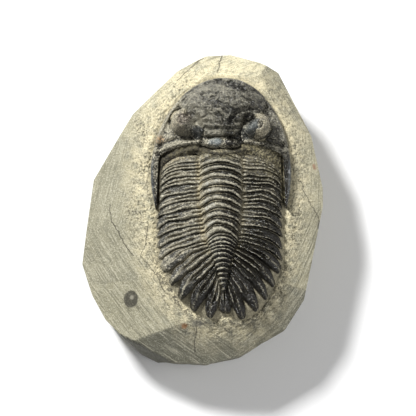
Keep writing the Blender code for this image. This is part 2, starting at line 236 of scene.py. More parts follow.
def tip_point(rib):
    """Where a rib ends: in a line down the thorax, then in a fan round the tail."""
    thorax = np.minimum(rib, SEGMENTS)
    tail = np.maximum(rib - SEGMENTS, 0.0)
    x = 14.3 + 0.55 * np.sin(math.pi * thorax / SEGMENTS)
    y = 8.8 - 1.32 * thorax - 0.066 * thorax**2 - 2.6 * np.minimum(tail, 0.8)
    angle = np.radians(7.0 + 15.1 * tail)
    reach = 13.8 + 1.6 * ease(1.5, 4.5, tail) - 1.7 * ease(4.8, 5.5, tail)
    in_tail = ease(0.0, 0.8, tail)
    fan_x, fan_y = reach * np.cos(angle), TAIL_CENTRE_Y - reach * np.sin(angle)
    return x * (1 - in_tail) + fan_x * in_tail, y * (1 - in_tail) + fan_y * in_tail


def bezier(points, t):
    """A cubic curve through its first and last points."""
    a, b, c, d = points
    s = 1 - t
    return a * s**3 + 3 * b * s * s * t + 3 * c * s * t * t + d * t**3


def body_point(rib, across, side):
    """Plan position, from the midline: across is 0 on it and 1 at the tip, side is 1 or -1."""
    half, y_mid, arch = axis_half_width(rib), ring_y(rib), ring_arch(rib)
    on_ring = share_of(across / AXIS_SHARE)
    out = out_share(across)
    tip_x, tip_y = tip_point(rib)
    foot_x, foot_y = half, y_mid - arch
    tail = tail_share(rib)
    start = np.radians(4.0 * ease(6.0, 11.0, rib) + 86.0 * tail)
    end = np.radians(54.0 - 8.0 * ease(0.0, 11.0, rib) + 44.0 * tail)
    length = np.hypot(tip_x - foot_x, tip_y - foot_y)
    bx = (foot_x, foot_x + 0.36 * length * np.cos(start), tip_x - 0.4 * length * np.cos(end), tip_x)
    by = (foot_y, foot_y - 0.36 * length * np.sin(start), tip_y + 0.4 * length * np.sin(end), tip_y)
    on_axis = across <= AXIS_SHARE
    x = np.where(on_axis, half * on_ring, bezier(bx, out))
    y = np.where(on_axis, y_mid - arch * on_ring**2, bezier(by, out))
    flare = LEFT_FLARE * ease(4.5, 8.0, rib) * (1 - ease(13.5, 16.0, rib))
    x = np.where(side < 0, x * (1 + flare * out), x)
    return side * x, y


def body_height(rib, across):
    """Height of the smooth body above the crown, before its ribs."""
    tail = ease(0.0, 1.0, tail_share(rib))
    foot = 3.1 + 0.4 * np.sin(math.pi * share_of(rib / SEGMENTS)) - 1.7 * tail
    ring = (2.0 - 0.9 * tail) * (1 - share_of(across / AXIS_SHARE) ** 2.4) ** 0.7
    out = out_share(across)
    return TIP_Z + (foot - TIP_Z) * (1 - out**2.6) ** 0.85 + ring


def laid_point(rib, across, side):
    """The same place from the working origin, on the bowed midline and a little crumpled by the rock."""
    x, y = body_point(rib, across, side)
    x = x + midline(y)
    crumple = 0.36 * swirl(x, y, 6.0, 61, 2) + 0.18 * swirl(x, y, 2.4, 62, 1)
    crumple = crumple + 0.2 * swirl(x / 2.5, y, 1.9, 65, 1)
    return x + 0.15 * swirl(x, y, 7.0, 63, 1), y + crumple


def bar(part, low, high, power=0.55):
    """A rounded bar between two shares of a rib."""
    middle, half = (low + high) / 2, (high - low) / 2
    return dome(np.abs(part - middle) / half, power)


def tile(part, low, high):
    """A bar that rises gently from its front edge and drops steeply behind."""
    t = share_of((part - low) / (high - low))
    return ease(0.0, 0.6, t) ** 0.8 * (1 - ease(0.78, 1.0, t))


def rib_crest(part, across, worn, forked):
    """Height on a rib's bands, and nearness to their ridges and to the furrow between them.

    worn is a noise from -1 to 1 that makes one band or the other stronger, or runs them together.
    """
    out = out_share(across)
    cut = 0.44 + 0.14 * out + 0.06 * worn  # the pleural furrow slants back towards the tip
    front = tile(part, 0.0, cut) * (0.75 + 0.45 * worn)
    back = tile(part, cut + 0.02, 0.98) * (0.95 - 0.25 * worn)
    merged = bar(part, 0.03, 0.97, 0.7) if forked else tile(part, 0.02, 0.98)
    near_tip = ease(0.5, 0.8, out) if forked else ease(0.7, 0.9, out)
    near_tip = np.maximum(near_tip, 0.75 * ease(0.25, 0.7, np.abs(worn)))
    crest = np.maximum(front, back) * (1 - near_tip) + merged * near_tip
    furrow = bump(part, cut, 0.13) * (1 - near_tip)
    ridges = np.maximum(bump(part, cut - 0.12, 0.13), bump(part, 0.82, 0.15)) * (1 - near_tip)
    edge = bump(part, 0.5, 0.16) if forked else bump(part, 0.8, 0.18)
    return crest, ridges + edge * near_tip, furrow


def ring_crest(part):
    """The same on an axial ring: a broad bar behind a low half ring."""
    crest = np.maximum(tile(part, 0.18, 1.0), 0.45 * tile(part, 0.0, 0.24))
    return crest, bump(part, 0.72, 0.3)


# ---------------------------------------------------------------- the head's rule


def head_edges(w):
    """Outer and inner edge of the horseshoe-shaped head shield at w, -1 and 1 at the spine tips."""
    side, turn = np.sign(w), np.abs(w)
    spine = 0.24
    on_spine_share = share_of((1 - turn) / spine)
    on_head = share_of((1 - spine - turn) / (1 - spine))
    angle = on_head * math.pi / 2
    outer_x = HEAD_HALF_WIDTH * np.cos(angle)
    outer_y = HEAD_WIDEST_Y + HEAD_LENGTH * np.sin(angle)
    spine_x = SPINE_TIP[0] + (HEAD_HALF_WIDTH - SPINE_TIP[0]) * np.sin(on_spine_share * math.pi / 2)
    spine_y = SPINE_TIP[1] + (HEAD_WIDEST_Y - SPINE_TIP[1]) * on_spine_share
    outer_x = np.where(turn > 1 - spine, spine_x, outer_x)
    outer_y = np.where(turn > 1 - spine, spine_y, outer_y)
    neck_x = GENAL_CORNER[0] * (1 - on_head)
    neck_y = GENAL_CORNER[1] + 2.2 * (1 - (1 - on_head) ** 3.2)
    neck_y = neck_y - NECK_BULGE * (1 - ease(1.5, 5.4, neck_x))
    inner_x = SPINE_TIP[0] - 0.3 + (GENAL_CORNER[0] - SPINE_TIP[0] + 0.3) * on_spine_share
    inner_y = SPINE_TIP[1] + 0.4 + (GENAL_CORNER[1] - SPINE_TIP[1] - 0.4) * on_spine_share**0.9
    inner_x = np.where(turn > 1 - spine, inner_x, neck_x)
    inner_y = np.where(turn > 1 - spine, inner_y, neck_y)
    return (side * outer_x, outer_y), (side * inner_x, inner_y)


def on_spine(y):
    """0 on the head and 1 on the genal spines."""
    return 1 - ease(9.0, 13.0, y)


def lobe(x, y, centre, half, power=0.5):
    """A rounded oval swelling in plan: 1 in its middle, 0 outside."""
    away = np.hypot((x - centre[0]) / half[0], (y - centre[1]) / half[1])
    return dome(away, power)


def stroke(x, y, points, half_width):
    """A soft line through points: 1 along it, 0 beyond half_width."""
    nearest = np.full(np.shape(x), 99.0)
    for (ax, ay), (bx, by) in zip(points, points[1:]):
        run_x, run_y = bx - ax, by - ay
        t = share_of(((x - ax) * run_x + (y - ay) * run_y) / (run_x**2 + run_y**2))
        nearest = np.minimum(nearest, np.hypot(x - ax - t * run_x, y - ay - t * run_y))
    return 1 - ease(0.0, 1.0, nearest / half_width)


def eye_frame(x, y):
    """Offsets from the nearer eye's middle, outwards and forwards, as shares of its half sizes."""
    outward = np.where(x < 0, LEFT_EYE[0] - x, x - RIGHT_EYE[0])
    forward = y - np.where(x < 0, LEFT_EYE[1], RIGHT_EYE[1])
    return outward / EYE_HALF_WIDTH, forward / EYE_HALF_LENGTH


def eye_form(x, y):
    """Height as a share of the eye's top, then radius, lens band, and the inner ramp's polish, which
    carries a painted sheen.
    """
    outward, forward = eye_frame(x, y)
    radius = np.hypot(outward, forward)
    facing = outward / np.maximum(radius, 0.01)
    inner = ease(0.05, -0.65, facing)
    ramp_length = np.where(x < 0, 1.4, 1.8)
    ramp_radius = np.hypot(outward / ramp_length, forward - 0.4 * np.minimum(outward, 0.0))
    wall = dome(share_of((radius - 0.34) / 0.7), 0.8)
    ramp = 1 - ease(0.2, 1.0, ramp_radius)
    facing = facing - np.where(x < 0, 0.55 * ease(0.1, -0.6, forward), 0.0)
    band = ease(0.32, 0.42, radius) * ease(1.0, 0.92, radius)
    band = band * ease(-0.5, -0.15, facing)
    polished_sheen_ramp = ramp * ease(0.1, -0.3, outward) * np.where(x < 0, 0.3, 1.0)
    return wall * (1 - inner) + ramp * inner, radius, band, polished_sheen_ramp


def border_line(x):
    """Where the head's hind border runs."""
    return GENAL_CORNER[1] + 2.2 * (1 - share_of(np.abs(x) / GENAL_CORNER[0]) ** 3.2)


def glabella_mask(x, y):
    """How far each point stands on the swollen middle of the head."""
    front = lobe(x, y, (0, 25.2), (10.4, 6.4), 0.42)
    middle = lobe(x, y, (0, 21.8), (6.7, 6.2), 0.5)
    back = dome(np.abs(x) / 4.4) * ease(15.6, 16.6, y) * (y < 24)
    return np.maximum(front, np.maximum(middle * 0.88, back * 0.72))


# Furrows of the head on one side: points, half width, and depth on the left and on the right.
FURROWS = [
    ([(2.0, 20.4), (3.2, 21.7), (5.2, 22.8), (8.2, 23.2)], 1.0, 0.35, 0.9),
    ([(1.8, 19.4), (3.2, 19.8), (4.7, 19.8)], 0.8, 0.4, 0.4),
    ([(0.0, 18.2), (2.2, 18.2), (4.6, 18.5)], 0.8, 0.7, 0.7),
    ([(0.0, 16.2), (2.4, 16.2), (4.6, 16.4)], 0.7, 1.0, 1.0),
]
AXIAL_FURROW = [
    (4.7, 14.4), (4.5, 17.0), (5.1, 19.2), (6.0, 21.2), (7.6, 23.4), (9.8, 25.2), (11.4, 25.8),
]


def head_surface(x, y):
    """The head at plan points, x from the midline: its height above the crown and its fields."""
    reach = np.abs(x)
    radius = share_of(np.hypot(x / HEAD_HALF_WIDTH, (y - HEAD_WIDEST_Y) / HEAD_LENGTH))
    height = TIP_Z + 2.9 * dome(radius, 0.5)
    glabella = glabella_mask(x, y)
    height = height + (1.5 + 2.0 * ease(16.0, 25.0, y)) * glabella
    furrow = stroke(reach, y, AXIAL_FURROW, 1.1) * (0.8 - 0.45 * ease(20.0, 23.0, y))
    for points, half_width, left, right in FURROWS:
        furrow = np.maximum(furrow, stroke(reach, y, points, half_width) * np.where(x > 0, right, left))
    # Behind the glabella: a low bar in two halves, then the stout neck ring with its node
    bar_y = bar(y, 16.5, 18.0, 0.8) * dome(reach / 4.2, 0.4)
    neck_ring = lobe(x, y, (-0.1, 14.6), (4.7, 1.75), 0.5)
    height = height + 0.6 * bar_y * (1 - bump(x, 0.2, 0.6)) + 2.3 * neck_ring
    node = lobe(x, y, (-1.3, 14.9), (1.7, 1.15), 0.8)
    height = height + 0.6 * node + 0.45 * lobe(x, y, (1.9, 14.8), (1.5, 1.1), 0.8) - 0.75 * furrow
    # The narrow border round the front, and the rod along the back
    border = bump(radius, 0.965, 0.035) * (y > 4)
    inside = bump(radius, 0.905, 0.05) * (1 - glabella) * ease(8.0, 12.0, y)
    height = height + 0.35 * border - 0.4 * inside
    hind = bump(y, border_line(x) + 0.75, 0.75) * ease(4.4, 5.4, reach)
    gutter = bump(y, border_line(x) + 2.1, 1.0) * ease(4.6, 6.0, reach)
    height = height + 0.65 * hind - 0.7 * gutter
    # The eyes, and a smooth lobe behind the left one
    stand, eye, band, ramp = eye_form(x, y)
    height = height + np.maximum(EYE_TOP - height, 0.0) * stand
    rim = bump(eye, 0.33, 0.1) * ease(-0.4, 0.0, eye_frame(x, y)[0])
    foot = bump(eye, 1.1, 0.14) * ease(-0.6, 0.0, eye_frame(x, y)[0])
    lump = lobe(x, y, (-5.9, 17.6), (1.6, 1.9), 0.6)
    height = height - 0.28 * rim - 0.3 * foot + 1.1 * lump
    wrinkled = ease(0.15, 0.5, glabella) * (1 - ease(0.02, 0.2, stand))
    crest = share_of(1 - furrow - 0.7 * inside - 0.9 * gutter - 0.6 * foot - 0.5 * rim)
    # Polish, carrying a painted blue-grey sheen, on the eye's inner ramp, the node and the lump
    polish_and_sheen = share_of(ramp + 0.9 * node + 0.4 * lump)
    # Genal spines: a rounded ridge, steepest on the outer side
    spine_x = 15.95 + 0.25 * ease(0.0, 8.0, y)
    across_spine = np.abs(reach - spine_x) / 1.45
    spine = TIP_Z + 1.15 * dome(across_spine, 0.6)
    share = on_spine(y)
    crest = crest * (1 - share) + share * dome(across_spine, 0.4)
    # Polish and painted sheen along the outer, lit side of each genal spine
    polish_and_sheen = polish_and_sheen * (1 - share) + share * 0.8 * bump(reach, spine_x + 0.5, 0.9)
    fields = {"crest": crest, "lens": band, "polish_and_sheen": polish_and_sheen, "wrinkled": wrinkled}
    fields["hind"] = hind * (1 - share)
    return height * (1 - share) + spine * share, fields


# ---------------------------------------------------------------- meshes


def placement():
    """The shift that lays this script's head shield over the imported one."""
    low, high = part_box("cephalon")
    (edge_x, edge_y), _ = head_edges(np.linspace(-1.0, 1.0, 400))
    edge_x = edge_x + midline(edge_y)
    shift_x = (low[0] + high[0]) / 2 / MM - (edge_x.min() + edge_x.max()) / 2
    shift_y = (low[1] + high[1]) / 2 / MM - (HEAD_WIDEST_Y + HEAD_LENGTH + SPINE_TIP[1]) / 2
    return shift_x, shift_y


PLACE_X, PLACE_Y = placement()


def detail(full, quick):
    return full


def quads(rows, columns, wrap=False):
    """Faces of a grid of points, given row by row."""
    r, c = np.meshgrid(np.arange(rows - 1), np.arange(columns if wrap else columns - 1), indexing="ij")
    near, far = r * columns + c, r * columns + (c + 1) % columns
    return np.stack([near, far, far + columns, near + columns], axis=-1).reshape(-1, 4)


def raw_mesh(name, x, y, z, faces, fields):
    """A mesh of placed points in metres, with number fields on its points."""
    points = np.stack([x.ravel() + PLACE_X, y.ravel() + PLACE_Y, z.ravel()], axis=-1) * MM
    mesh = bpy.data.meshes.new(name)
    mesh.vertices.add(len(points))
    mesh.vertices.foreach_set("co", points.ravel())
    mesh.loops.add(faces.size)
    mesh.loops.foreach_set("vertex_index", faces.ravel())
    mesh.polygons.add(len(faces))
    mesh.polygons.foreach_set("loop_start", np.arange(len(faces)) * 4)
    mesh.update(calc_edges=True)
    for field, values in fields.items():
        if values.ndim > x.ndim:
            made = mesh.attributes.new(field, "FLOAT_VECTOR", "POINT")
            made.data.foreach_set("vector", values.reshape(-1))
        else:
            made = mesh.attributes.new(field, "FLOAT", "POINT")
            made.data.foreach_set("value", values.ravel())
    return mesh


def set_order(parts, key):
    """Sorts the points, edges or faces of a shape, as an extrusion gives them no fixed order."""
    rank = {part: place for place, part in enumerate(sorted(parts, key=key))}
    parts.sort(key=rank.get)
    parts.index_update()


def finish_mesh(mesh, floor=None, sharp=60):
    """Merges seams, closes the mesh below its rim where a floor is given, turns its faces outwards."""
    shape = bmesh.new()
    shape.from_mesh(mesh)
    bmesh.ops.remove_doubles(shape, verts=shape.verts, dist=0.004 * MM)
    if floor is not None:
        rim = [edge for edge in shape.edges if edge.is_boundary]
        for item in bmesh.ops.extrude_edge_only(shape, edges=rim)["geom"]:
            if isinstance(item, bmesh.types.BMVert):
                item.co.z = floor * MM
        set_order(shape.verts, lambda vert: tuple(vert.co))
        for parts in (shape.edges, shape.faces):
            set_order(parts, lambda part: sorted(vert.index for vert in part.verts))
        bmesh.ops.contextual_create(shape, geom=[edge for edge in shape.edges if edge.is_boundary])
    bmesh.ops.recalc_face_normals(shape, faces=shape.faces)
    shape.to_mesh(mesh)
    shape.free()
    mesh.shade_smooth()
    mesh.set_sharp_from_angle(angle=math.radians(sharp))
    return mesh


def add_to_scene(name, data):
    """Adds an object with this mesh, lamp or camera."""
    made = bpy.data.objects.new(name, data)
    bpy.context.scene.collection.objects.link(made)
    return made


def add_piece(name, mesh, surface, slot, *nodes):
    """Adds a finished piece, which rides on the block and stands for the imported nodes."""
    piece = add_to_scene(name, mesh)
    mesh.materials.clear()
    mesh.materials.append(surface)
    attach(piece, "root")
    if nodes:
        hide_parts(*nodes)
    return piece


def shell_grit(x, y, crest, seed):
    """The fine granulation of the shell."""
    near, own = grains(x, y, 0.55, seed)
    beads = dome(near * 1.7, 0.8) * (0.4 + 0.6 * own)
    rough = swirl(x, y, 0.9, seed + 3, 2)
    return (0.075 * beads + 0.05 * rough) * (0.35 + 0.65 * crest)


def dust_and_side_light(x, y):
    """Limestone dust and painted light: thick and lighter on the left and towards the head, where the
    lamp falls from, more beside the spine, partly as painted highlights, painted shade right of the
    axis, and nearly gone from the tail's right.
    """
    across = 0.42 + 0.58 * ease(14.0, -4.0, x)
    along = 0.05 + 0.95 * ease(-20.0, -5.0, y + 0.7 * (MIDLINE_X - x))
    # Dust along the axis, and painted highlights on the left halves of the rings
    axis_dust_and_highlight = lobe(x, y, (1.8, -1.0), (3.0, 13.0), 0.6) + lobe(x, y, (3.9, -19.5), (1.3, 7.0), 0.6)
    # Painted shade on the far side of the axis
    shaded_far_side = lobe(x, y, (7.0, -1.0), (2.6, 14.0), 0.6)
    patchy = 1 + 0.5 * swirl(x, y, 3.2, 64, 3)
    return np.clip((across * along + 0.4 * axis_dust_and_highlight - 0.22 * shaded_far_side) * patchy, 0.02, 1.3)


def smeared(x, y):
    """Where brown matrix still lies over the first ribs, behind the head."""
    flank = 1.2 * lobe(x, y, (16.0, 9.8), (6.5, 4.4), 0.7)
    behind_neck = 1.6 * lobe(x, y, (4.4, 12.9), (10.0, 2.6), 0.6)
    left = 0.5 * lobe(x, y, (-8.0, 9.0), (4.0, 3.0), 0.8)
    patchy = 0.75 + 0.6 * swirl(x, y, 1.6, 120, 3)
    return share_of(np.maximum(np.maximum(flank, behind_neck), left) * patchy)


def segment_mesh(number):
    """One thoracic segment: an axial ring with a pleura on each side."""
    count = detail(130, 60)
    axis_shares = np.linspace(0, AXIS_SHARE, count // 3)[:-1]
    side_shares = np.concatenate([axis_shares, np.linspace(AXIS_SHARE, 1, count - count // 3)])
    tip_shares = 0.9 + 0.1 * (np.maximum(side_shares - 0.9, 0.0) / 0.1) ** 0.8
    side_shares = np.where(side_shares > 0.9, tip_shares, side_shares)
    across = np.concatenate([-side_shares[::-1], side_shares[1:]])[None, :]
    part = (0.5 - 0.5 * np.cos(np.linspace(0.12, math.pi - 0.12, 22)))[:, None]
    part = 0.025 + 0.95 * (part - part[0]) / (part[-1] - part[0])
    reach = np.abs(across) + 0 * part
    part = part + 0 * reach
    side = np.where(across >= 0, 1.0, -1.0) + 0 * part
    blunt = 1 - 0.075 * np.abs(2 * part - 1) ** 2.6 * (0.7 + 0.5 * number / SEGMENTS)
    spread = np.where(reach > AXIS_SHARE, AXIS_SHARE + (reach - AXIS_SHARE) * blunt, reach)
    rib = number - 1 + part
    x, y = laid_point(rib, spread, side)
    axial = on_ring_share(reach)
    waver = 0.17 * swirl(x, y, 2.6, 50 + number, 3)
    worn = 1.4 * swirl(x, y, 4.0, 90 + number, 3)
    ring, ring_ridge = ring_crest(part + 0.8 * waver)
    rib_band, rib_ridge, furrow = rib_crest(part + waver, reach, worn, False)
    crest = ring * axial + rib_band * (1 - axial)
    ridge = ring_ridge * axial + rib_ridge * (1 - axial)
    out = out_share(reach)
    wear = swirl(x, y, 2.2, 40 + number, 3)
    relief = (1.0 * axial + 0.8 * (1 - axial)) * (1 + 0.8 * wear) * (0.4 if number == 1 else 1.0)
    top = body_height(rib, spread) + crest * relief * (1 - 0.6 * smeared(x, y)) - 0.25
    top = top - 0.2 * bump(reach, AXIS_SHARE * 1.02, 0.06)
    top = top + 0.14 * swirl(x, y, 3.0, 60, 3) + shell_grit(x, y, crest, 5)
    top = top - 1.5 * ease(0.955, 1.0, out) ** 1.6
    roll = ease(0.88, 1.0, np.abs(2 * part - 1))
    top = top - 0.42 * roll
    gutter = np.maximum(bump(reach, AXIS_SHARE * 1.02, 0.09), 0.8 * furrow * (1 - axial))
    gutter = np.maximum(gutter, 0.8 * bump(part, 0.12, 0.14) * axial)
    if number == 1:
        gutter = np.maximum(gutter, 0.8 * ease(0.9, 0.4, part))
    fields = {"crest": crest * (1 - roll), "ridge": ridge, "gutter": gutter, "dusty": dust_and_side_light(x, y)}
    fields["smeared"] = smeared(x, y)
    mesh = raw_mesh(f"segment_{number:02d}", x, y, BED_Z + top, quads(*x.shape), fields)
    return finish_mesh(mesh, SUNK_Z)


def pygidium_mesh():
    """The tail shield: a ringed axis and five pairs of ribs that end in blunt spines."""
    per_rib = detail(36, 16)
    ribs = np.linspace(SEGMENTS + 0.03, SEGMENTS + TAIL_RIBS, int(per_rib * TAIL_RIBS) + 1)
    count = detail(120, 50)
    axis_shares = np.linspace(0, AXIS_SHARE, count // 3)[:-1]
    across = np.concatenate([axis_shares, np.linspace(AXIS_SHARE, 1, count)])
    tip_shares = 0.8 + 0.2 * (np.maximum(across - 0.8, 0.0) / 0.2) ** 0.85
    across = np.where(across > 0.8, tip_shares, across)
    rib = np.concatenate([ribs, ribs[-2::-1]])[None, :] + 0 * across[:, None]
    side = np.concatenate([np.ones(len(ribs)), -np.ones(len(ribs) - 1)])[None, :] + 0 * rib
    reach = across[:, None] + 0 * rib
    part = rib - np.floor(rib)
    depth = 0.17 + 0.14 * ease(11.5, 13.5, rib) + 0.06 * ease(13.5, 15.0, rib)
    notch = depth * np.abs(2 * part - 1) ** 2.7
    notch = np.where(rib < SEGMENTS + 0.5, 0.5 * notch, notch)
    spread = np.where(reach > AXIS_SHARE, AXIS_SHARE + (reach - AXIS_SHARE) * (1 - notch), reach)
    x, y = laid_point(rib, spread, side)
    axial = on_ring_share(reach)
    out = out_share(reach)
    ring_part = (rib - SEGMENTS) * TAIL_RINGS / TAIL_RIBS
    ring_part = ring_part - np.floor(ring_part)
    rings = bar(ring_part, 0.06, 0.95) * ease(16.5, 15.6, rib)
    waver = 0.08 * swirl(x, y, 2.4, 71, 3)
    worn = 1.1 * swirl(x, y, 4.5, 110, 2)
    rib_band, rib_ridge, furrow = rib_crest(share_of(part + waver), reach, worn, True)
    crest = rings * axial + rib_band * (1 - axial)
    ridge = bump(ring_part, 0.35, 0.3) * axial + rib_ridge * (1 - axial)
    slim = ease(SEGMENTS, SEGMENTS + TAIL_RIBS, rib)
    close = 1 - 0.55 * slim * (1 - out)
    wear = swirl(x, y, 2.4, 83, 3)
    merged = lobe(x, y, (8.0, -18.0), (3.6, 3.4), 0.7)
    relief = (0.5 * axial + 1.25 * close * (1 - axial)) * (1 + 0.4 * wear) * (1 - 0.6 * merged)
    top = body_height(rib, spread) + crest * relief - 0.3 + 0.12 * merged
    top = top - 0.22 * bump(reach, AXIS_SHARE * 1.02, 0.05)
    top = top + 0.14 * swirl(x, y, 2.6, 81, 3) + shell_grit(x, y, crest, 6)
    top = top - 1.5 * ease(0.95, 1.0, reach) ** 1.6
    top = top - 0.42 * ease(0.07, 0.0, rib - SEGMENTS)
    gutter = bump(reach, AXIS_SHARE * 1.02, 0.07) * ease(15.5, 12.0, rib)
    gap = ease(0.6, 0.1, rib_band)
    gutter = np.maximum(gutter, np.maximum(0.8 * furrow, gap) * (1 - axial))
    dusty = dust_and_side_light(x, y) * (1 - 0.7 * merged)
    fields = {"crest": crest, "ridge": ridge, "gutter": gutter, "dusty": dusty}
    mesh = raw_mesh("pygidium", x, y, BED_Z + top, quads(*x.shape), fields)
    return finish_mesh(mesh, SUNK_Z)


# These patches take away, or add, dust together with the painted light it carries
BARE_SPOTS = [  # (centre, half size, how bare) of the patches on the head with less dust, or more
    ((5.0, 20.6), (3.4, 1.7), 0.17),
    ((2.2, 15.0), (2.2, 1.6), 0.3),
    ((2.4, 17.2), (2.4, 0.9), 0.3),
    ((-5.9, 17.6), (1.9, 2.2), 0.42),
    ((-2.0, 17.2), (2.4, 0.9), -0.3),
    ((14.5, 15.0), (3.6, 8.0), -0.06),
]


def head_detail(x, y):
    """The head with its fine relief: height above the crown, and the fields for its finish."""
    height, fields = head_surface(x, y)
    placed_x = x + midline(y)
    wrinkled, crest, band = fields.pop("wrinkled"), fields["crest"], fields["lens"]
    plain = 1 - 0.8 * share_of(fields["polish_and_sheen"] + band)
    near, own = grains(placed_x, y, 0.8, 11)
    warts = dome(near * 1.5, 0.8) * (0.3 + 0.7 * own)
    coarse, _ = grains(placed_x, y, 1.25, 12)
    knobs = dome(coarse * 1.5, 0.8) * lobe(x, y, (0, 20.6), (5.4, 3.4), 0.5)
    bent = 0.8 * swirl(placed_x, y, 3.0, 23, 2)
    from_middle, round_it = np.hypot(x, y - 13.0), np.arctan2(y - 13.0, x) * 12.0
    ringed = swirl(from_middle + 1.6 * bent, round_it / 3.2 + 1.2 * bent, 0.9, 21, 2)
    crossed = swirl(0.7 * placed_x + 0.7 * y + bent, (0.7 * y - 0.7 * placed_x) / 2.2, 0.8, 26, 2)
    folds = 1 - 2.0 * np.abs(ringed) - 0.8 * np.abs(crossed)
    broad = swirl(placed_x, y, 5.0, 24, 2)
    height = height + (0.14 * warts + 0.3 * folds + 0.2 * broad) * wrinkled * crest
    height = height + 0.3 * knobs * crest + 0.12 * swirl(placed_x, y, 1.6, 22, 3) * plain
    height = height + shell_grit(placed_x, y, crest, 7) * plain
    # Dust and painted light, lighter towards the left where the lamp falls from
    dusty = 0.5 + 0.35 * ease(8.0, -6.0, placed_x) - 0.1 * wrinkled
    for centre, half, depth in BARE_SPOTS:
        dusty = dusty - depth * lobe(x, y, centre, half, 0.8)
    on_rod = 0.9 * fields.pop("hind") * ease(2.0, -4.0, placed_x)
    dusty = np.maximum(dusty * ease(10.0, 14.0, y), on_rod)
    left_arm = ease(-9.0, -12.0, x) * ease(-3.0, 6.0, y)
    dusty = np.maximum(dusty, 0.6 * left_arm)
    ridge = np.where(wrinkled > 0.01, 0.45 + 0.45 * folds * wrinkled, 0.45)
    wrinkled = np.maximum(wrinkled, 0.8 * ease(9.0, 12.0, x))
    dusty = dusty * (1 - 0.85 * fields["polish_and_sheen"])
    fields.update(dusty=dusty, ridge=share_of(ridge), wrinkled=wrinkled)
    return height, fields


def cephalon_mesh():
    """The head shield, as a horseshoe whose arms run back into the genal spines."""
    rows, half = detail((150, 190), (70, 90))
    w = np.concatenate([np.linspace(1.0, 0.78, half // 3)[:-1], np.linspace(0.78, 0.0, half)])
    w = np.concatenate([w, -w[-2::-1]])
    (outer_x, outer_y), (inner_x, inner_y) = head_edges(w)
    share = np.linspace(0.0, 1.0, rows)[:, None]
    x = inner_x * (1 - share) + outer_x * share
    y = inner_y * (1 - share) + outer_y * share
    placed_x = x + midline(y)
    height, fields = head_detail(x, y)
    edge = ease(0.955, 1.0, share) * np.ones_like(x)
    neck = ease(0.035, 0.0, share) * np.ones_like(x)
    height = height - (height + 0.7) * edge**1.7 - 0.8 * neck
    fields["crest"] = fields["crest"] * (1 - edge)
    mesh = raw_mesh("cephalon", placed_x, y, BED_Z + height, quads(*x.shape), fields)
    return finish_mesh(mesh, SUNK_Z)


LENS_FILES, LENS_ROWS = 20, 6  # the lenses stand in upright files round each eye
LENS_WIDTH = 0.42
LENS_SPREAD = (0.75, 1.15)  # least and greatest size, as shares of the width
LENS_FLATNESS = 0.55
LENS_SEED = 4


def lens_seats():
    """Places and directions of the lenses, in millimetres, on both eyes."""
    turn = np.radians(np.linspace(-108, 108, LENS_FILES))[:, None]
    radius = np.linspace(0.50, 0.90, LENS_ROWS)[None, :] + 0.03 * (np.arange(LENS_FILES) % 2)[:, None]
    outward, forward = radius * np.cos(turn) * EYE_HALF_WIDTH, radius * np.sin(turn) * EYE_HALF_LENGTH
    x = np.concatenate([(LEFT_EYE[0] - outward).ravel(), (RIGHT_EYE[0] + outward).ravel()])
    y = np.concatenate([(LEFT_EYE[1] + forward).ravel(), (RIGHT_EYE[1] + forward).ravel()])
    step = 0.1
    height = head_detail(x, y)[0]
    slope_x = (head_detail(x + step, y)[0] - head_detail(x - step, y)[0]) / (2 * step)
    slope_y = (head_detail(x, y + step)[0] - head_detail(x, y - step)[0]) / (2 * step)
    facing = np.stack([-slope_x, -slope_y, np.ones_like(x)], axis=-1)
    facing = facing / np.linalg.norm(facing, axis=1, keepdims=True)
    places = np.stack([x + midline(y) + PLACE_X, y + PLACE_Y, BED_Z + height], axis=-1)
    return places, facing


def lens_tree(surface):
    """Geometry nodes that set a flattened bead on every seat, turned to face as the seat does."""
    tree = bpy.data.node_groups.new("eye_lenses", "GeometryNodeTree")
    ends = tree.interface
    ends.new_socket("Geometry", in_out="INPUT", socket_type="NodeSocketGeometry")
    width = ends.new_socket("Lens width", in_out="INPUT", socket_type="NodeSocketFloat")
    seed = ends.new_socket("Seed", in_out="INPUT", socket_type="NodeSocketInt")
    ends.new_socket("Geometry", in_out="OUTPUT", socket_type="NodeSocketGeometry")
    add = tree.nodes.new
    given, result = add("NodeGroupInput"), add("NodeGroupOutput")
    bead = add("GeometryNodeMeshIcoSphere")
    bead.inputs["Subdivisions"].default_value = 2
    facing = add("GeometryNodeInputNamedAttribute")
    facing.data_type = "FLOAT_VECTOR"
    facing.inputs["Name"].default_value = "facing"
    turned = add("FunctionNodeAlignRotationToVector")
    turned.axis = "Z"
    spread = add("FunctionNodeRandomValue")
    spread.data_type = "FLOAT"
    spread.inputs[2].default_value, spread.inputs[3].default_value = LENS_SPREAD
    size, flat = add("ShaderNodeMath"), add("ShaderNodeMath")
    for scaled, share in ((size, 0.5), (flat, LENS_FLATNESS)):
        scaled.operation = "MULTIPLY"
        scaled.inputs[1].default_value = share
    shape = add("ShaderNodeCombineXYZ")
    place = add("GeometryNodeInstanceOnPoints")
    real = add("GeometryNodeRealizeInstances")
    finish = add("GeometryNodeSetMaterial")
    finish.inputs["Material"].default_value = surface
    links = [
        (given, "Lens width", bead, "Radius"), (given, "Seed", spread, "Seed"),
        (facing, "Attribute", turned, "Vector"), (spread, 1, size, 0), (size, 0, flat, 0),
        (size, 0, shape, "X"), (size, 0, shape, "Y"), (flat, 0, shape, "Z"),
        (given, "Geometry", place, "Points"), (bead, "Mesh", place, "Instance"),
        (turned, "Rotation", place, "Rotation"), (shape, "Vector", place, "Scale"),
        (place, "Instances", real, "Geometry"), (real, "Geometry", finish, "Geometry"),
        (finish, "Geometry", result, "Geometry"),
    ]
    for source, output, target, socket in links:
        tree.links.new(source.outputs[output], target.inputs[socket])
    return tree, width.identifier, seed.identifier


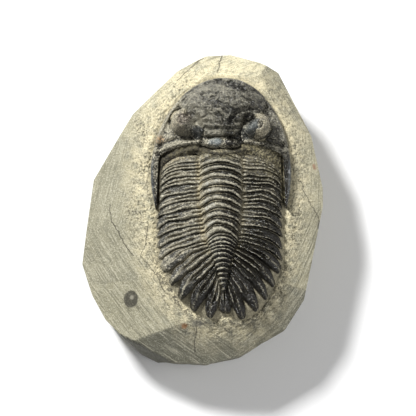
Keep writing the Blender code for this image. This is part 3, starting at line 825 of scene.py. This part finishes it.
def lens_mesh(surface):
    """All the lenses of both eyes as one plain mesh."""
    places, facing = lens_seats()
    seats = bpy.data.meshes.new("lens_seats")
    seats.from_pydata((places * MM).tolist(), [], [])
    field = seats.attributes.new("facing", "FLOAT_VECTOR", "POINT")
    field.data.foreach_set("vector", facing.ravel())
    holder = add_to_scene("lens_seats", seats)
    tree, width, seed = lens_tree(surface)
    grow = holder.modifiers.new("lenses", "NODES")
    grow.node_group = tree
    grow[width] = LENS_WIDTH * MM
    grow[seed] = LENS_SEED
    ready = holder.evaluated_get(bpy.context.evaluated_depsgraph_get())
    mesh = bpy.data.meshes.new_from_object(ready)
    bpy.data.objects.remove(holder)
    mesh.shade_smooth()
    return mesh


def neck_matrix_mesh():
    """The limestone left between the head and the thorax, and inside the genal spines."""
    w = np.linspace(0.985, -0.985, detail(420, 200))
    _, (inner_x, inner_y) = head_edges(w)
    in_arm = ease(0.70, 0.80, np.abs(w))
    ragged = 1 + 0.35 * swirl(inner_x, inner_y, 2.2, 93, 3)
    middle = 2.5 + 2.2 * ease(6.0, 13.0, inner_x)
    width = (middle + 1.2 * ease(8.0, 13.0, -inner_x)) * ragged * (1 - in_arm) + 1.7 * in_arm
    toward_x, toward_y = -np.sign(w) * in_arm, -(1 - in_arm)
    length = np.hypot(toward_x, toward_y)
    share = np.linspace(-0.35, 1.0, 30)[:, None]
    x = inner_x + toward_x / length * width * share
    y = inner_y + toward_y / length * width * share
    height = 0.0
    for shift in np.linspace(-0.9, 0.9, 7):
        reach = np.abs(x + shift)
        outside = AXIS_SHARE + (reach - 5.2) / 9.1 * (1 - AXIS_SHARE)
        across = np.where(reach < 5.2, AXIS_SHARE * reach / 5.2, outside)
        height = height + body_height(0.0 * x, share_of(across)) / 7
    height = height + 0.1 - 0.15 * in_arm
    sag = 0.6 * bump(share, 0.1, 0.4) + 0.9 * ease(0.0, -0.25, share)
    sag = sag + 0.7 * ease(0.5, 1.0, share)
    sag = sag + 1.5 * ease(0.55, 0.0, share) * (1 - ease(4.0, 6.0, np.abs(x)))
    placed_x = x + midline(y)
    near, own = grains(placed_x, y, 0.8, 94)
    lumps = dome(near * 1.4, 0.8) * own
    height = height - sag + 0.5 * swirl(placed_x, y, 2.2, 91, 4) + 0.4 * lumps
    mesh = raw_mesh("neck_matrix", placed_x, y, BED_Z + height, quads(*x.shape), {})
    return finish_mesh(mesh, SUNK_Z)


# ---------------------------------------------------------------- the block


def facet_heights(x, y):
    """Height of the crown and of each ground facet, as endless planes."""
    heights = [np.full(np.shape(x), BED_Z)]
    for angle, reach, slope in FACETS:
        nx, ny = direction(angle)
        heights.append(BED_Z - (nx * x + ny * y - reach) * math.tan(math.radians(slope)))
    angle, reach, foot_z, slope = CORNER_FACET
    nx, ny = direction(angle)
    heights.append(foot_z - (nx * x + ny * y - reach) * math.tan(math.radians(slope)))
    return heights


def wall_reach(hub_x, dx, dy, z):
    """Distance from the hub to the block's side along a plan direction, at height z."""
    found = np.full(np.shape(dx), 99.0)
    for angle, reach in SIDES:
        nx, ny = direction(angle)
        offset = reach + math.tan(math.radians(WALL_LEAN)) * (z - BED_Z + 4.0) - nx * hub_x - ny * HUB_Y
        along = nx * dx + ny * dy
        found = np.where(along > 1e-6, np.minimum(found, offset / np.maximum(along, 1e-6)), found)
    return found


def outline_reach(turn):
    """Distance from the hub to the fossil's margin at each plan angle."""
    w = np.linspace(1.0, -1.0, 241)
    (head_x, head_y), _ = head_edges(w)
    ribs = np.linspace(6.3, SEGMENTS + TAIL_RIBS, 120)
    left_x, left_y = body_point(ribs, np.ones_like(ribs), -1)
    right_x, right_y = body_point(ribs[::-1], np.ones_like(ribs), 1)
    x = np.concatenate([head_x, left_x, right_x])
    y = np.concatenate([head_y, left_y, right_y])
    x = x + midline(y) - midline(HUB_Y)
    y = y - HUB_Y
    angle = np.arctan2(y, x)
    order = np.argsort(angle)
    return np.interp(turn, angle[order], np.hypot(x, y)[order], period=2 * math.pi)


def sheet_trees():
    """The fossil's upper side, for finding how high the rock stands under and between its plates."""
    ribs = np.linspace(0.15, SEGMENTS + TAIL_RIBS, 70)[:, None]
    across = np.linspace(-1, 1, 81)[None, :] + 0 * ribs
    rib, reach = ribs + 0 * across, np.abs(across)
    body_x, body_y = body_point(rib, reach, np.where(across >= 0, 1.0, -1.0))
    (outer_x, outer_y), (inner_x, inner_y) = head_edges(np.linspace(0.76, -0.76, 60))
    share = np.linspace(0.07, 1.0, 30)[:, None]
    head_x = inner_x * (1 - share) + outer_x * share
    head_y = inner_y * (1 - share) + outer_y * share
    head_z = np.minimum(head_surface(head_x, head_y)[0], 3.2)
    made = []
    for x, y, z in ((body_x, body_y, body_height(rib, reach)), (head_x, head_y, head_z)):
        points = [Vector(p) for p in zip((x + midline(y)).ravel(), y.ravel(), z.ravel())]
        made.append(BVHTree.FromPolygons(points, quads(*x.shape).tolist()))
    return made


# Where the rock was picked hardest: centre and half sizes in plan.
PECKED_PATCHES = [
    ((22.0, -3.5), (2.8, 9.0)), ((-15.7, -1.0), (3.5, 5.0)), ((-14.3, 19.0), (3.0, 5.0)),
    ((3.0, -28.6), (10.0, 3.0)), ((17.4, -20.5), (3.2, 6.0)),
]


def fossil_above(x, y, rows):
    """Height of the fossil's underside over the first rows of points, and -9 where there is none."""
    under = np.full(x.shape, -9.0)
    trees = sheet_trees()
    for index in np.ndindex(rows, x.shape[1]):
        start = Vector((float(x[index]), float(y[index]), 20.0))
        for tree in trees:
            hit = tree.ray_cast(start, Vector((0, 0, -1)))[0]
            if hit is not None:
                under[index] = max(under[index], hit.z)
    return under


def wheel_marks(x, y, z):
    """Fields for the ground faces: darkness that is partly the rock's tone and partly painted shade,
    scoring, and a grain that runs with the wheel.
    """
    facet = np.argmin(np.stack(facet_heights(x, y)), axis=0)
    turn, facet_tone_and_shade, scored = FACET_FINISH[facet].transpose(2, 0, 1)
    facing = np.array([0.0] + [face[0] for face in FACETS] + [CORNER_FACET[0]])
    heading = np.radians(facing[facet] + turn)
    along = -np.sin(heading) * x + np.cos(heading) * y
    outward = np.cos(heading) * x + np.sin(heading) * y
    grain = np.stack([along, outward, facet * 7.0 + 0.3 * z], axis=-1)
    return {"facet_tone_and_shade": facet_tone_and_shade, "scored": scored, "grain": grain}


def block_mesh():
    """The limestone, from the mound inside the fossil out over the facets and down to the base."""
    columns = detail(640, 300)
    inner, outer, wall, base = detail((26, 70, 30, 6), (16, 36, 14, 4))
    hub_x = midline(HUB_Y)
    turn = np.linspace(-math.pi, math.pi, columns, endpoint=False)
    dx, dy = np.cos(turn), np.sin(turn)
    near = outline_reach(turn)
    rim_z = np.full(columns, 13.0)
    for _ in range(8):
        far = wall_reach(hub_x, dx, dy, rim_z)
        ground_z = soft_min(facet_heights(hub_x + dx * far, HUB_Y + dy * far), EDGE_WEAR)
        rim_z = 0.5 * rim_z + 0.5 * ground_z
    far = wall_reach(hub_x, dx, dy, rim_z)
    # Top, from the hub outwards
    inner_share = (np.arange(inner) / inner)[:, None]
    outer_share = (np.linspace(0, 1, outer) ** 1.15)[:, None]
    reach = np.concatenate([near * inner_share, near + (far - near) * outer_share])
    x, y = hub_x + dx * reach, HUB_Y + dy * reach
    ground = soft_min(facet_heights(x, y), EDGE_WEAR)
    beyond = reach - near
    under = fossil_above(x, y, inner + 8)
    cover = under > -5
    core = BED_Z + np.where(cover, under, 0.0) - CORE_GAP
    top = np.where(cover & (core > ground - CORE_GAP), core, ground)
    margin = np.exp(-((np.maximum(beyond, 0.0) / 0.7) ** 2)) * (beyond >= 0)
    top = np.where(beyond >= -0.3, ground - 0.35 * margin, top)
    top = np.where((beyond < -0.3) & ~cover, ground - 0.35, top)
    # The prepared zone round the fossil is pecked with small pits
    pecked = ease(9.0, 0.6, beyond) * (0.55 + 0.45 * swirl(x, y, 5.0, 31, 2))
    for centre, half in PECKED_PATCHES:
        uneven = 0.75 + 0.25 * swirl(x, y, 2.0, 37, 2)
        pecked = np.maximum(pecked, lobe(x, y, centre, half, 0.6) * uneven)
    pecked = share_of(pecked)
    depth, own = grains(x + 0.3 * swirl(x, y, 0.8, 33, 1), y, 0.85, 32)
    pits = dome(depth * 2.1, 0.9) * (own > 0.35)
    on_ground = ease(-0.2, 0.4, beyond)
    top = top - 0.38 * pits * pecked * on_ground
    top = top + (0.2 * swirl(x, y, 1.1, 34, 3) * pecked + 0.12 * swirl(x, y, 7.0, 35, 3)) * on_ground
    # Sides and base
    wall_share = np.linspace(0, 1, wall + 1)[1:, None]
    wall_z = rim_z * (1 - wall_share)
    wall_out = np.stack([wall_reach(hub_x, dx, dy, z) for z in wall_z])
    side_x, side_y = hub_x + dx * wall_out, HUB_Y + dy * wall_out
    rough = 0.35 * swirl(side_x, side_y, 5.0, 36, 4, wall_z) * ease(0.0, 0.12, wall_share)
    wall_out = wall_out - 0.15 + rough * ease(1.0, 0.93, wall_share)
    wall_out = wall_out - 0.5 * ease(0.94, 1.0, wall_share) ** 2
    side_x, side_y = hub_x + dx * wall_out, HUB_Y + dy * wall_out
    base_share = np.linspace(1, 0, base + 1)[1:, None]
    base_x = hub_x + (side_x[-1] - hub_x) * base_share
    base_y = HUB_Y + (side_y[-1] - HUB_Y) * base_share
    all_x = np.concatenate([x, side_x, base_x])
    all_y = np.concatenate([y, side_y, base_y])
    all_z = np.concatenate([top, wall_z, 0 * base_x])
    # Fields: what the top has, and the one value that the sides and the base have
    rest = np.zeros((len(all_x) - len(x), columns))
    tops = {
        "close": (np.where(beyond < 0, 1.0, ease(10.0, 0.0, beyond)), 0.0),
        "pecked": (np.where(beyond < 0, 0.6, pecked), 0.0),
        "inside": (ease(0.4, -0.1, beyond), 0.0),
        "wall": (np.zeros_like(x), 1.0),
    }
    fields = {name: np.concatenate([on_top, rest + below]) for name, (on_top, below) in tops.items()}
    fields.update(wheel_marks(all_x, all_y, all_z))
    mesh = raw_mesh("block", all_x, all_y, all_z, quads(*all_x.shape, wrap=True), fields)
    return finish_mesh(mesh, sharp=75)


# ---------------------------------------------------------------- shaders


class Term:
    """A value in a shader, so that shader maths can be written as plain expressions."""

    def __init__(self, shader, socket):
        self.shader = shader
        self.socket = socket

    def __add__(self, other):
        return self.shader.maths("ADD", self, other)

    def __sub__(self, other):
        return self.shader.maths("SUBTRACT", self, other)

    def __rsub__(self, other):
        return self.shader.maths("SUBTRACT", other, self)

    def __mul__(self, other):
        return self.shader.maths("MULTIPLY", self, other)

    __radd__ = __add__


class Shader:
    """A material on one Principled BSDF."""

    def __init__(self, name):
        self.material = bpy.data.materials.new(name)
        self.material.use_nodes = True
        self.tree = self.material.node_tree
        self.surface = self.tree.nodes["Principled BSDF"]
        self.colour = None

    def node(self, kind, settings=None, sockets=None, output=0):
        """Adds a node of a type, sets it up, and gives the output that is asked for."""
        made = self.tree.nodes.new(kind)
        for name, value in (settings or {}).items():
            setattr(made, name, value)
        for name, value in (sockets or {}).items():
            self.feed(made.inputs[name], value)
        return Term(self, made.outputs[output])

    def feed(self, socket, value):
        if isinstance(value, Term):
            self.tree.links.new(value.socket, socket)
        else:
            socket.default_value = value

    def maths(self, operation, first, second=0.0):
        return self.node("ShaderNodeMath", {"operation": operation}, {0: first, 1: second})

    def higher(self, first, second):
        return self.maths("MAXIMUM", first, second)

    def blend(self, factor, first, second):
        """Mixes two colours."""
        colours = [c if isinstance(c, Term) else (*c, 1.0) for c in (first, second)]
        sockets = {0: factor, 6: colours[0], 7: colours[1]}
        return self.node("ShaderNodeMix", {"data_type": "RGBA"}, sockets, 2)

    def paint(self, factor, tint):
        """Lays a tint over the colour so far."""
        self.colour = self.blend(factor, self.colour, tint)

    def step(self, value, low, high):
        """0 at low and 1 at high, smooth between."""
        sockets = {"Value": value, "From Min": low, "From Max": high}
        return self.node("ShaderNodeMapRange", {"interpolation_type": "SMOOTHSTEP"}, sockets)

    def vector(self, operation, first, second, output=0):
        return self.node("ShaderNodeVectorMath", {"operation": operation}, {0: first, 1: second}, output)

    def place(self):
        """The point on the piece, in millimetres from the working origin."""
        spot = self.node("ShaderNodeTexCoord", output="Object")
        scaled = self.vector("MULTIPLY", spot, (1 / MM, 1 / MM, 1 / MM))
        return self.vector("SUBTRACT", scaled, (PLACE_X, PLACE_Y, 0.0))

    def field(self, name, output="Fac"):
        return self.node("ShaderNodeAttribute", {"attribute_name": name}, output=output)

    def noise(self, vector, size, detail=3.0, roughness=0.55):
        sockets = {"Vector": vector, "Scale": 1.0 / size, "Detail": detail, "Roughness": roughness}
        return self.node("ShaderNodeTexNoise", {}, sockets)

    def cells(self, vector, size):
        return self.node("ShaderNodeTexVoronoi", {}, {"Vector": vector, "Scale": 1.0 / size})

    def spot(self, vector, centre, half, softness=0.3):
        """1 inside an oval in plan, 0 outside."""
        shifted = self.vector("SUBTRACT", vector, (*centre, 0.0))
        shaped = self.vector("MULTIPLY", shifted, (1 / half[0], 1 / half[1], 0.0))
        away = self.node("ShaderNodeVectorMath", {"operation": "LENGTH"}, {0: shaped}, "Value")
        return self.step(away, 1.0 + softness, 1.0 - softness)

    def bump(self, height, distance, strength=1.0):
        sockets = {"Height": height, "Distance": distance * MM, "Strength": strength}
        return self.node("ShaderNodeBump", {}, sockets)

    def set(self, **sockets):
        for name, value in sockets.items():
            self.feed(self.surface.inputs[name.replace("_", " ").title().replace("Ior", "IOR")], value)


# Cracks in the limestone, each a short line in plan: start, end, width.
CRACKS = [
    ((4.9, 38.0), (3.6, 32.6), 0.14),
    ((0.3, 36.9), (-2.7, 34.2), 0.16), ((-2.7, 34.2), (-6.0, 31.0), 0.14),
    ((-22.3, 0.8), (-21.9, -2.6), 0.12), ((-21.9, -2.6), (-16.7, -11.6), 0.13),
    ((-13.0, -3.6), (-13.7, -9.0), 0.12), ((-13.7, -9.0), (-14.6, -11.8), 0.1),
    ((22.8, 7.0), (28.3, -3.4), 0.1), ((-1.4, -28.8), (-2.1, -34.6), 0.16),
    ((-14.6, -11.8), (-11.6, -15.4), 0.1), ((-11.6, -15.4), (-8.9, -20.3), 0.1),
]
# Small stains in the limestone: centre, half sizes, softness, strength, colour.
STAINS = [
    ((-1.1, -28.0), (1.3, 0.9), 0.5, 0.6, (0.12, 0.12, 0.11)),
    ((-4.2, -28.4), (0.8, 0.6), 0.5, 0.75, (0.30, 0.12, 0.03)),
    ((26.9, 10.2), (0.35, 0.6), 0.5, 0.7, (0.28, 0.12, 0.06)),
    ((28.0, -3.9), (0.5, 0.9), 0.4, 0.8, (0.06, 0.055, 0.045)),
]


def crack_mask(shader, spot, start, end, width):
    """A thin wavering line from start to end."""
    length = math.hypot(end[0] - start[0], end[1] - start[1])
    along = ((end[0] - start[0]) / length, (end[1] - start[1]) / length)
    shifted = shader.vector("SUBTRACT", spot, (*start, 0.0))
    run = shader.vector("DOT_PRODUCT", shifted, (*along, 0.0), "Value")
    off = shader.vector("DOT_PRODUCT", shifted, (-along[1], along[0], 0.0), "Value")
    ends = shader.step(run, -0.3, 0.3) * shader.step(run, length + 0.3, length - 0.3)
    return shader.step(shader.maths("ABSOLUTE", off), width, width * 0.35) * ends


def limestone():
    """Pale marly limestone, ground with a coarse wheel."""
    s = Shader("limestone")
    spot = s.place()
    wander = s.node("ShaderNodeTexNoise", {}, {"Vector": spot, "Scale": 0.5, "Detail": 3.0}, "Color")
    wander = s.vector("MULTIPLY", s.vector("SUBTRACT", wander, (0.5, 0.5, 0.5)), (1.6, 1.6, 1.6))
    warped = s.vector("ADD", spot, wander)
    grain = s.field("grain", "Vector")
    close, pecked, wall = s.field("close"), s.field("pecked"), s.field("wall")
    inside, facet_tone_and_shade = s.field("inside"), s.field("facet_tone_and_shade")
    broad = s.noise(spot, 11.0, 3.0)
    mottle = s.noise(spot, 2.4, 4.0, 0.6)
    fine = s.noise(spot, 0.3, 2.0, 0.6)
    streak = s.noise(s.vector("MULTIPLY", grain, (0.1, 1.9, 1.0)), 1.0, 2.0, 0.6)
    scratch = s.noise(s.vector("MULTIPLY", grain, (0.17, 3.4, 1.0)), 1.0, 1.0, 0.6)
    scored = s.field("scored") * (1 - pecked * 0.75) * s.step(mottle, 0.3, 0.5)
    cream, olive, grey = (0.55, 0.51, 0.35), (0.43, 0.40, 0.265), (0.33, 0.32, 0.23)
    s.colour = s.blend(s.step(broad, 0.38, 0.62), cream, olive)
    s.paint(s.step(mottle, 0.45, 0.72) * 0.5, grey)
    s.paint((1 - close) * 0.25, grey)
    # Each ground face darkened by its own tone, and by painted shade where the face turns from the lamp
    s.paint(facet_tone_and_shade * 0.75, (0.125, 0.124, 0.09))
    s.paint(close * s.step(mottle, 0.75, 0.35) * 0.82, (0.81, 0.715, 0.46))
    s.paint(s.step(fine, 0.5, 0.64) * 0.4, (0.22, 0.205, 0.145))
    s.paint(s.step(fine, 0.5, 0.36) * 0.3, (0.80, 0.76, 0.62))
    s.paint(s.step(streak, 0.52, 0.66) * scored * 0.35, (0.17, 0.165, 0.115))
    s.paint(s.step(scratch, 0.54, 0.64) * scored * 0.6, (0.11, 0.105, 0.07))
    s.paint(s.step(scratch, 0.46, 0.34) * scored * 0.35, (0.74, 0.70, 0.54))
    pit = s.step(s.cells(warped, 0.9), 0.42, 0.2) * s.step(s.noise(spot, 1.7), 0.46, 0.56)
    scattered = s.cells(s.vector("ADD", warped, (3.1, 7.7, 0.0)), 0.45)
    speck = s.step(scattered, 0.36, 0.14) * s.step(fine, 0.42, 0.58)
    crumb = s.step(s.noise(warped, 0.6, 2.0, 0.7), 0.57, 0.66) * s.step(mottle, 0.4, 0.55)
    by_tail = s.step(s.node("ShaderNodeSeparateXYZ", {}, {0: spot}, 1), -10.0, -16.0)
    clumps = s.step(s.noise(warped, 0.7, 2.0, 0.7), 0.52, 0.58)
    margin = s.step(close, 0.80, 0.97) * (1 - inside) * clumps * by_tail
    dark_grit = s.higher(s.higher(pit, crumb) * pecked * 0.9, margin * 0.8)
    dark_grit = s.higher(dark_grit, speck * (pecked * 0.7 + 0.2))
    s.paint(dark_grit, (0.085, 0.075, 0.055))
    line = None
    for start, end, width in CRACKS:
        crack = crack_mask(s, warped, start, end, width)
        line = crack if line is None else s.higher(line, crack)
    line = line * (1 - wall)
    s.paint(line * 0.6, (0.10, 0.09, 0.065))
    # The slice through another shell, with its pale eyelet
    ragged = s.vector("ADD", spot, s.vector("MULTIPLY", wander, (0.25, 0.25, 0.0)))
    shell_slice = s.spot(ragged, (-17.1, -21.8), (1.7, 2.0), 0.12)
    eyelet = s.spot(spot, (-16.9, -21.4), (0.45, 0.5), 0.5)
    s.paint(shell_slice * (s.step(fine, 0.3, 0.6) * 0.15 + 0.78), (0.045, 0.042, 0.03))
    s.paint(eyelet * shell_slice * 0.6, (0.4, 0.38, 0.3))
    for centre, half, softness, strength, tint in STAINS:
        s.paint(s.spot(warped, centre, half, softness) * strength, tint)
    s.paint(inside * 0.85, s.blend(s.step(fine, 0.4, 0.6), (0.17, 0.15, 0.10), (0.42, 0.38, 0.26)))
    s.paint(wall * 0.4, (0.24, 0.23, 0.17))
    # Painted shade: the corner face is darkened hard and the bottom faces a little, as they turn from
    # the lamp
    s.paint(s.step(facet_tone_and_shade, 1.5, 1.9) * (s.step(scratch, 0.6, 0.4) * 0.4 + 0.45), (0.07, 0.068, 0.052))
    s.paint(s.step(facet_tone_and_shade, 0.9, 1.35) * 0.16, (0.08, 0.08, 0.06))
    # Painted shade: the block darkened towards its right, the side away from the lamp
    shaded_right_side = s.step(s.node("ShaderNodeSeparateXYZ", {}, {0: spot}), 8.0, 19.0)
    s.paint(shaded_right_side * 0.16, (0.15, 0.148, 0.115))
    height = streak * 0.4 * scored + scratch * 0.5 * scored + fine * (pecked * 0.7 + 0.3)
    height = height + mottle * wall * 1.5 - dark_grit * 0.9 - line * 1.2
    rough = 0.86 - s.step(streak, 0.4, 0.7) * 0.1
    s.set(base_color=s.colour, roughness=rough, normal=s.bump(height, 0.3, 1.0))
    return s.material


def by_left_eye(shader, forward, half, softness):
    """A spot on the left eye, or in front of or behind its middle."""
    centre = (LEFT_EYE[0] + midline(LEFT_EYE[1]), LEFT_EYE[1] + forward)
    return shader.spot(shader.place(), centre, half, softness)


def fossil_shell():
    """Dark calcite, worn and dust-covered on its bands, with limestone left in its gutters, and painted
    light and shade on its surface.
    """
    s = Shader("fossil_shell")
    spot = s.place()
    crest, ridge, gutter = s.field("crest"), s.field("ridge"), s.field("gutter")
    dusty, lens, polish_and_sheen = s.field("dusty"), s.field("lens"), s.field("polish_and_sheen")
    broad = s.noise(spot, 4.5, 3.0)
    mottle = s.noise(spot, 1.0, 4.0, 0.68)
    fine = s.noise(spot, 0.42, 2.0, 0.65)
    black, grey, brown = (0.012, 0.011, 0.009), (0.064, 0.063, 0.053), (0.07, 0.058, 0.036)
    s.colour = s.blend(s.step(mottle, 0.42, 0.64), black, grey)
    s.paint(s.step(broad, 0.5, 0.7) * 0.5, brown)
    # Lighter where the dust and painted light are strong, near black where they are weak, on the tail's
    # shaded right
    s.paint(s.step(dusty, 0.3, 1.0) * 0.6, (0.085, 0.082, 0.068))
    s.paint(s.step(dusty, 0.6, 0.2) * 0.9, (0.009, 0.008, 0.006))
    wrinkled, smeared = s.field("wrinkled"), s.field("smeared")
    # Dust on the bands and ridges, and painted highlights on the ridge edges that face the lamp
    laid = ridge * 0.55 + crest * 0.1 + (mottle - 0.5) * (0.7 - wrinkled * 0.35) + 0.35
    laid = laid + (fine - 0.5) * (0.9 - wrinkled * 0.3) + (broad - 0.5) * (wrinkled * 0.4 + 0.5)
    bare = 0.94 - dusty * 0.4
    spread = wrinkled * 0.16 + 0.12
    dust_and_ridge_highlight = s.step(laid - bare, spread * -1.0, spread)
    dust_and_ridge_highlight = dust_and_ridge_highlight * (1 - wrinkled * 0.3) * (s.step(dusty, 0.0, 0.5) * 0.5 + 0.5)
    dust = s.blend(s.step(fine, 0.42, 0.62), (0.22, 0.205, 0.152), (0.50, 0.465, 0.35))
    dust = s.blend(wrinkled * 0.4, dust, (0.31, 0.30, 0.24))
    s.paint(dust_and_ridge_highlight * 0.85, dust)
    packed = gutter * s.step(mottle, 0.68, 0.38) * (dusty + 0.02)
    powder = s.blend(s.step(fine, 0.4, 0.6), (0.20, 0.172, 0.11), (0.50, 0.44, 0.29))
    s.paint(packed, powder)
    caked = s.blend(s.step(fine, 0.4, 0.62), (0.06, 0.053, 0.034), (0.27, 0.24, 0.145))
    s.paint(smeared * s.step(mottle, 0.7, 0.4) * 0.85, caked)
    # Polish with a painted blue-grey sheen on the smooth slopes
    s.paint(polish_and_sheen * 0.75, s.blend(s.step(mottle, 0.3, 0.7), (0.07, 0.077, 0.076), (0.19, 0.205, 0.20)))
    s.paint(lens * s.step(mottle, 0.62, 0.45) * 0.75, (0.36, 0.325, 0.23))
    node = s.spot(spot, (3.0, 14.9), (1.5, 1.0), 0.5) * s.step(mottle, 0.66, 0.5)
    s.paint(node * 0.7, s.blend(s.step(fine, 0.38, 0.6), (0.12, 0.135, 0.135), (0.38, 0.42, 0.41)))
    left_eye = by_left_eye(s, 0.5, (1.9, 1.9), 0.5)
    # Painted shadow under the left eye
    s.paint(by_left_eye(s, -2.6, (2.3, 1.4), 0.6) * 0.65, (0.03, 0.028, 0.022))
    s.paint(left_eye * 0.8, s.blend(s.step(fine, 0.4, 0.6), (0.07, 0.058, 0.045), (0.2, 0.165, 0.125)))
    # Painted highlight: pale grey patches on the crests of the left halves of the axial rings
    pale = s.spot(spot, (2.1, 1.5), (1.9, 11.0), 0.6) * s.step(crest, 0.3, 0.7)
    pale = pale * s.step(s.noise(spot, 1.4, 3.0, 0.7), 0.5, 0.6)
    s.paint(pale * 0.6, (0.47, 0.47, 0.42))
    # Painted glints: light specks where the lamp would catch the glossy shell
    painted_glint = s.step(fine, 0.60, 0.68) * s.step(mottle, 0.44, 0.56)
    painted_glint = painted_glint * s.step(dusty, 0.0, 0.4) * (1 - wrinkled * 0.6)
    s.paint(painted_glint * 0.9, (0.66, 0.63, 0.52))
    rust = s.spot(spot, (-10.3, 16.1), (1.1, 0.8), 0.7) * s.step(fine, 0.4, 0.6)
    s.paint(rust * 0.8, (0.36, 0.19, 0.06))
    # Painted shade: near black in the furrows, gaps and rolled edges where the bands are low
    s.paint(s.step(crest, 0.3, 0.0) * (0.75 - packed) * 0.8, (0.012, 0.011, 0.009))
    rough = 0.11 + dust_and_ridge_highlight * 0.4 + packed * 0.3 + smeared * 0.4 + dusty * 0.12 + (mottle - 0.5) * 0.3
    grit = s.bump(fine * 0.9 + mottle * 0.8, 0.36, 1.0)
    s.set(base_color=s.colour, roughness=rough, normal=grit, specular_ior_level=0.38)
    return s.material


def eye_lens():
    """The clear calcite lenses of the eyes, gone dull."""
    s = Shader("eye_lens")
    fine = s.noise(s.place(), 0.5, 2.0, 0.6)
    coarse = s.noise(s.place(), 1.1, 3.0, 0.7)
    s.colour = s.blend(s.step(fine, 0.4, 0.6), (0.17, 0.155, 0.11), (0.52, 0.47, 0.34))
    # Dark mottling on the lenses, and a painted shadow over those under the left eye
    mottle_and_shadow = s.higher(s.step(coarse, 0.52, 0.6) * 0.75, by_left_eye(s, -2.6, (2.3, 1.4), 0.6) * 0.7)
    s.paint(mottle_and_shadow, (0.06, 0.052, 0.036))
    s.set(base_color=s.colour, roughness=0.25 + fine * 0.2)
    return s.material


def neck_matrix():
    """Brownish limestone that was left rough behind the head."""
    s = Shader("neck_matrix")
    spot = s.place()
    broad = s.noise(spot, 4.0, 3.0)
    mottle = s.noise(spot, 1.2, 4.0, 0.65)
    fine = s.noise(spot, 0.4, 2.0, 0.6)
    right = s.step(s.node("ShaderNodeSeparateXYZ", {}, {0: spot}), 4.0, 13.0)
    brown = s.step(broad, 0.38, 0.62) * 0.6 + right * 0.4
    s.colour = s.blend(brown, (0.02, 0.017, 0.011), (0.10, 0.086, 0.045))
    s.paint(s.step(mottle, 0.44, 0.58) * 0.7, (0.03, 0.027, 0.019))
    s.paint(s.step(fine, 0.5, 0.6) * (right * 0.4 + 0.2), (0.32, 0.285, 0.17))
    s.paint(s.step(fine, 0.48, 0.38) * 0.6, (0.02, 0.018, 0.013))
    s.set(base_color=s.colour, roughness=0.8 + fine * 0.1, normal=s.bump(fine + mottle, 0.2, 0.9))
    return s.material


# ---------------------------------------------------------------- camera, light and floor


CAMERA_TILT = 81.0  # degrees above the horizon
CAMERA_AWAY = 1.2
VIEW_WIDTH = 0.0999  # width of the view at the fossil, in metres
AIM = (1.32, 0.6, 12.5)  # where the camera and the lamps point, in millimetres
SENSOR = 36.0
# Area lamps: name, place in metres, size in metres, power in watts
LAMPS = [("key", (-0.34, 0.42, 0.48), 0.13, 7.9), ("fill", (0.50, -0.20, 0.40), 0.60, 2.3)]
SKY = 0.2
FLOOR_HALF = 3.0
FLOOR_WHITE = 0.9


def camera_and_light():
    """A long lens, almost overhead, with soft light from the upper left."""
    tilt = math.radians(CAMERA_TILT)
    target = Vector((AIM[0] + PLACE_X, AIM[1] + PLACE_Y, AIM[2])) * MM
    camera = add_to_scene("camera", bpy.data.cameras.new("camera"))
    camera.data.sensor_width = SENSOR
    camera.data.lens = SENSOR * CAMERA_AWAY / VIEW_WIDTH
    camera.data.clip_end = 10.0
    camera.location = target + Vector((0, -math.cos(tilt), math.sin(tilt))) * CAMERA_AWAY
    camera.rotation_euler = (math.pi / 2 - tilt, 0, 0)
    bpy.context.scene.camera = camera
    for name, spot, size, power in LAMPS:
        lamp = add_to_scene(name, bpy.data.lights.new(name, "AREA"))
        lamp.data.size = size
        lamp.data.energy = power
        lamp.location = spot
        lamp.rotation_euler = (target - Vector(spot)).to_track_quat("-Z", "Y").to_euler()
    world = bpy.data.worlds.new("studio")
    world.use_nodes = True
    sky = world.node_tree.nodes["Background"].inputs
    sky["Color"].default_value = (1, 1, 1, 1)
    sky["Strength"].default_value = SKY
    bpy.context.scene.world = world
    bpy.context.scene.view_settings.view_transform = "Standard"


def pale_floor():
    """A wide white sheet under the block."""
    mesh = bpy.data.meshes.new("floor")
    corners = [(x * FLOOR_HALF, y * FLOOR_HALF, 0) for x, y in ((-1, -1), (1, -1), (1, 1), (-1, 1))]
    mesh.from_pydata(corners, [], [(0, 1, 2, 3)])
    floor = add_to_scene("floor", mesh)
    paper = Shader("white_paper")
    paper.set(base_color=(FLOOR_WHITE, FLOOR_WHITE, FLOOR_WHITE, 1.0), roughness=0.9)
    mesh.materials.append(paper.material)


def main():
    camera_and_light()
    pale_floor()
    stone, shell = limestone(), fossil_shell()
    add_piece("ground_limestone", block_mesh(), stone, "limestone", "limestone_block")
    add_piece("neck_matrix", neck_matrix_mesh(), neck_matrix(), "limestone")
    add_piece("head_shield", cephalon_mesh(), shell, "fossil_shell", "cephalon")
    lenses = eye_lens()
    add_piece("eye_lenses", lens_mesh(lenses), lenses, "fossil_shell")
    for number in range(1, SEGMENTS + 1):
        node = f"thoracic_segment_{number:02d}"
        add_piece(f"segment_{number:02d}", segment_mesh(number), shell, "fossil_shell", node)
    add_piece("tail_shield", pygidium_mesh(), shell, "fossil_shell", "pygidium")


main()
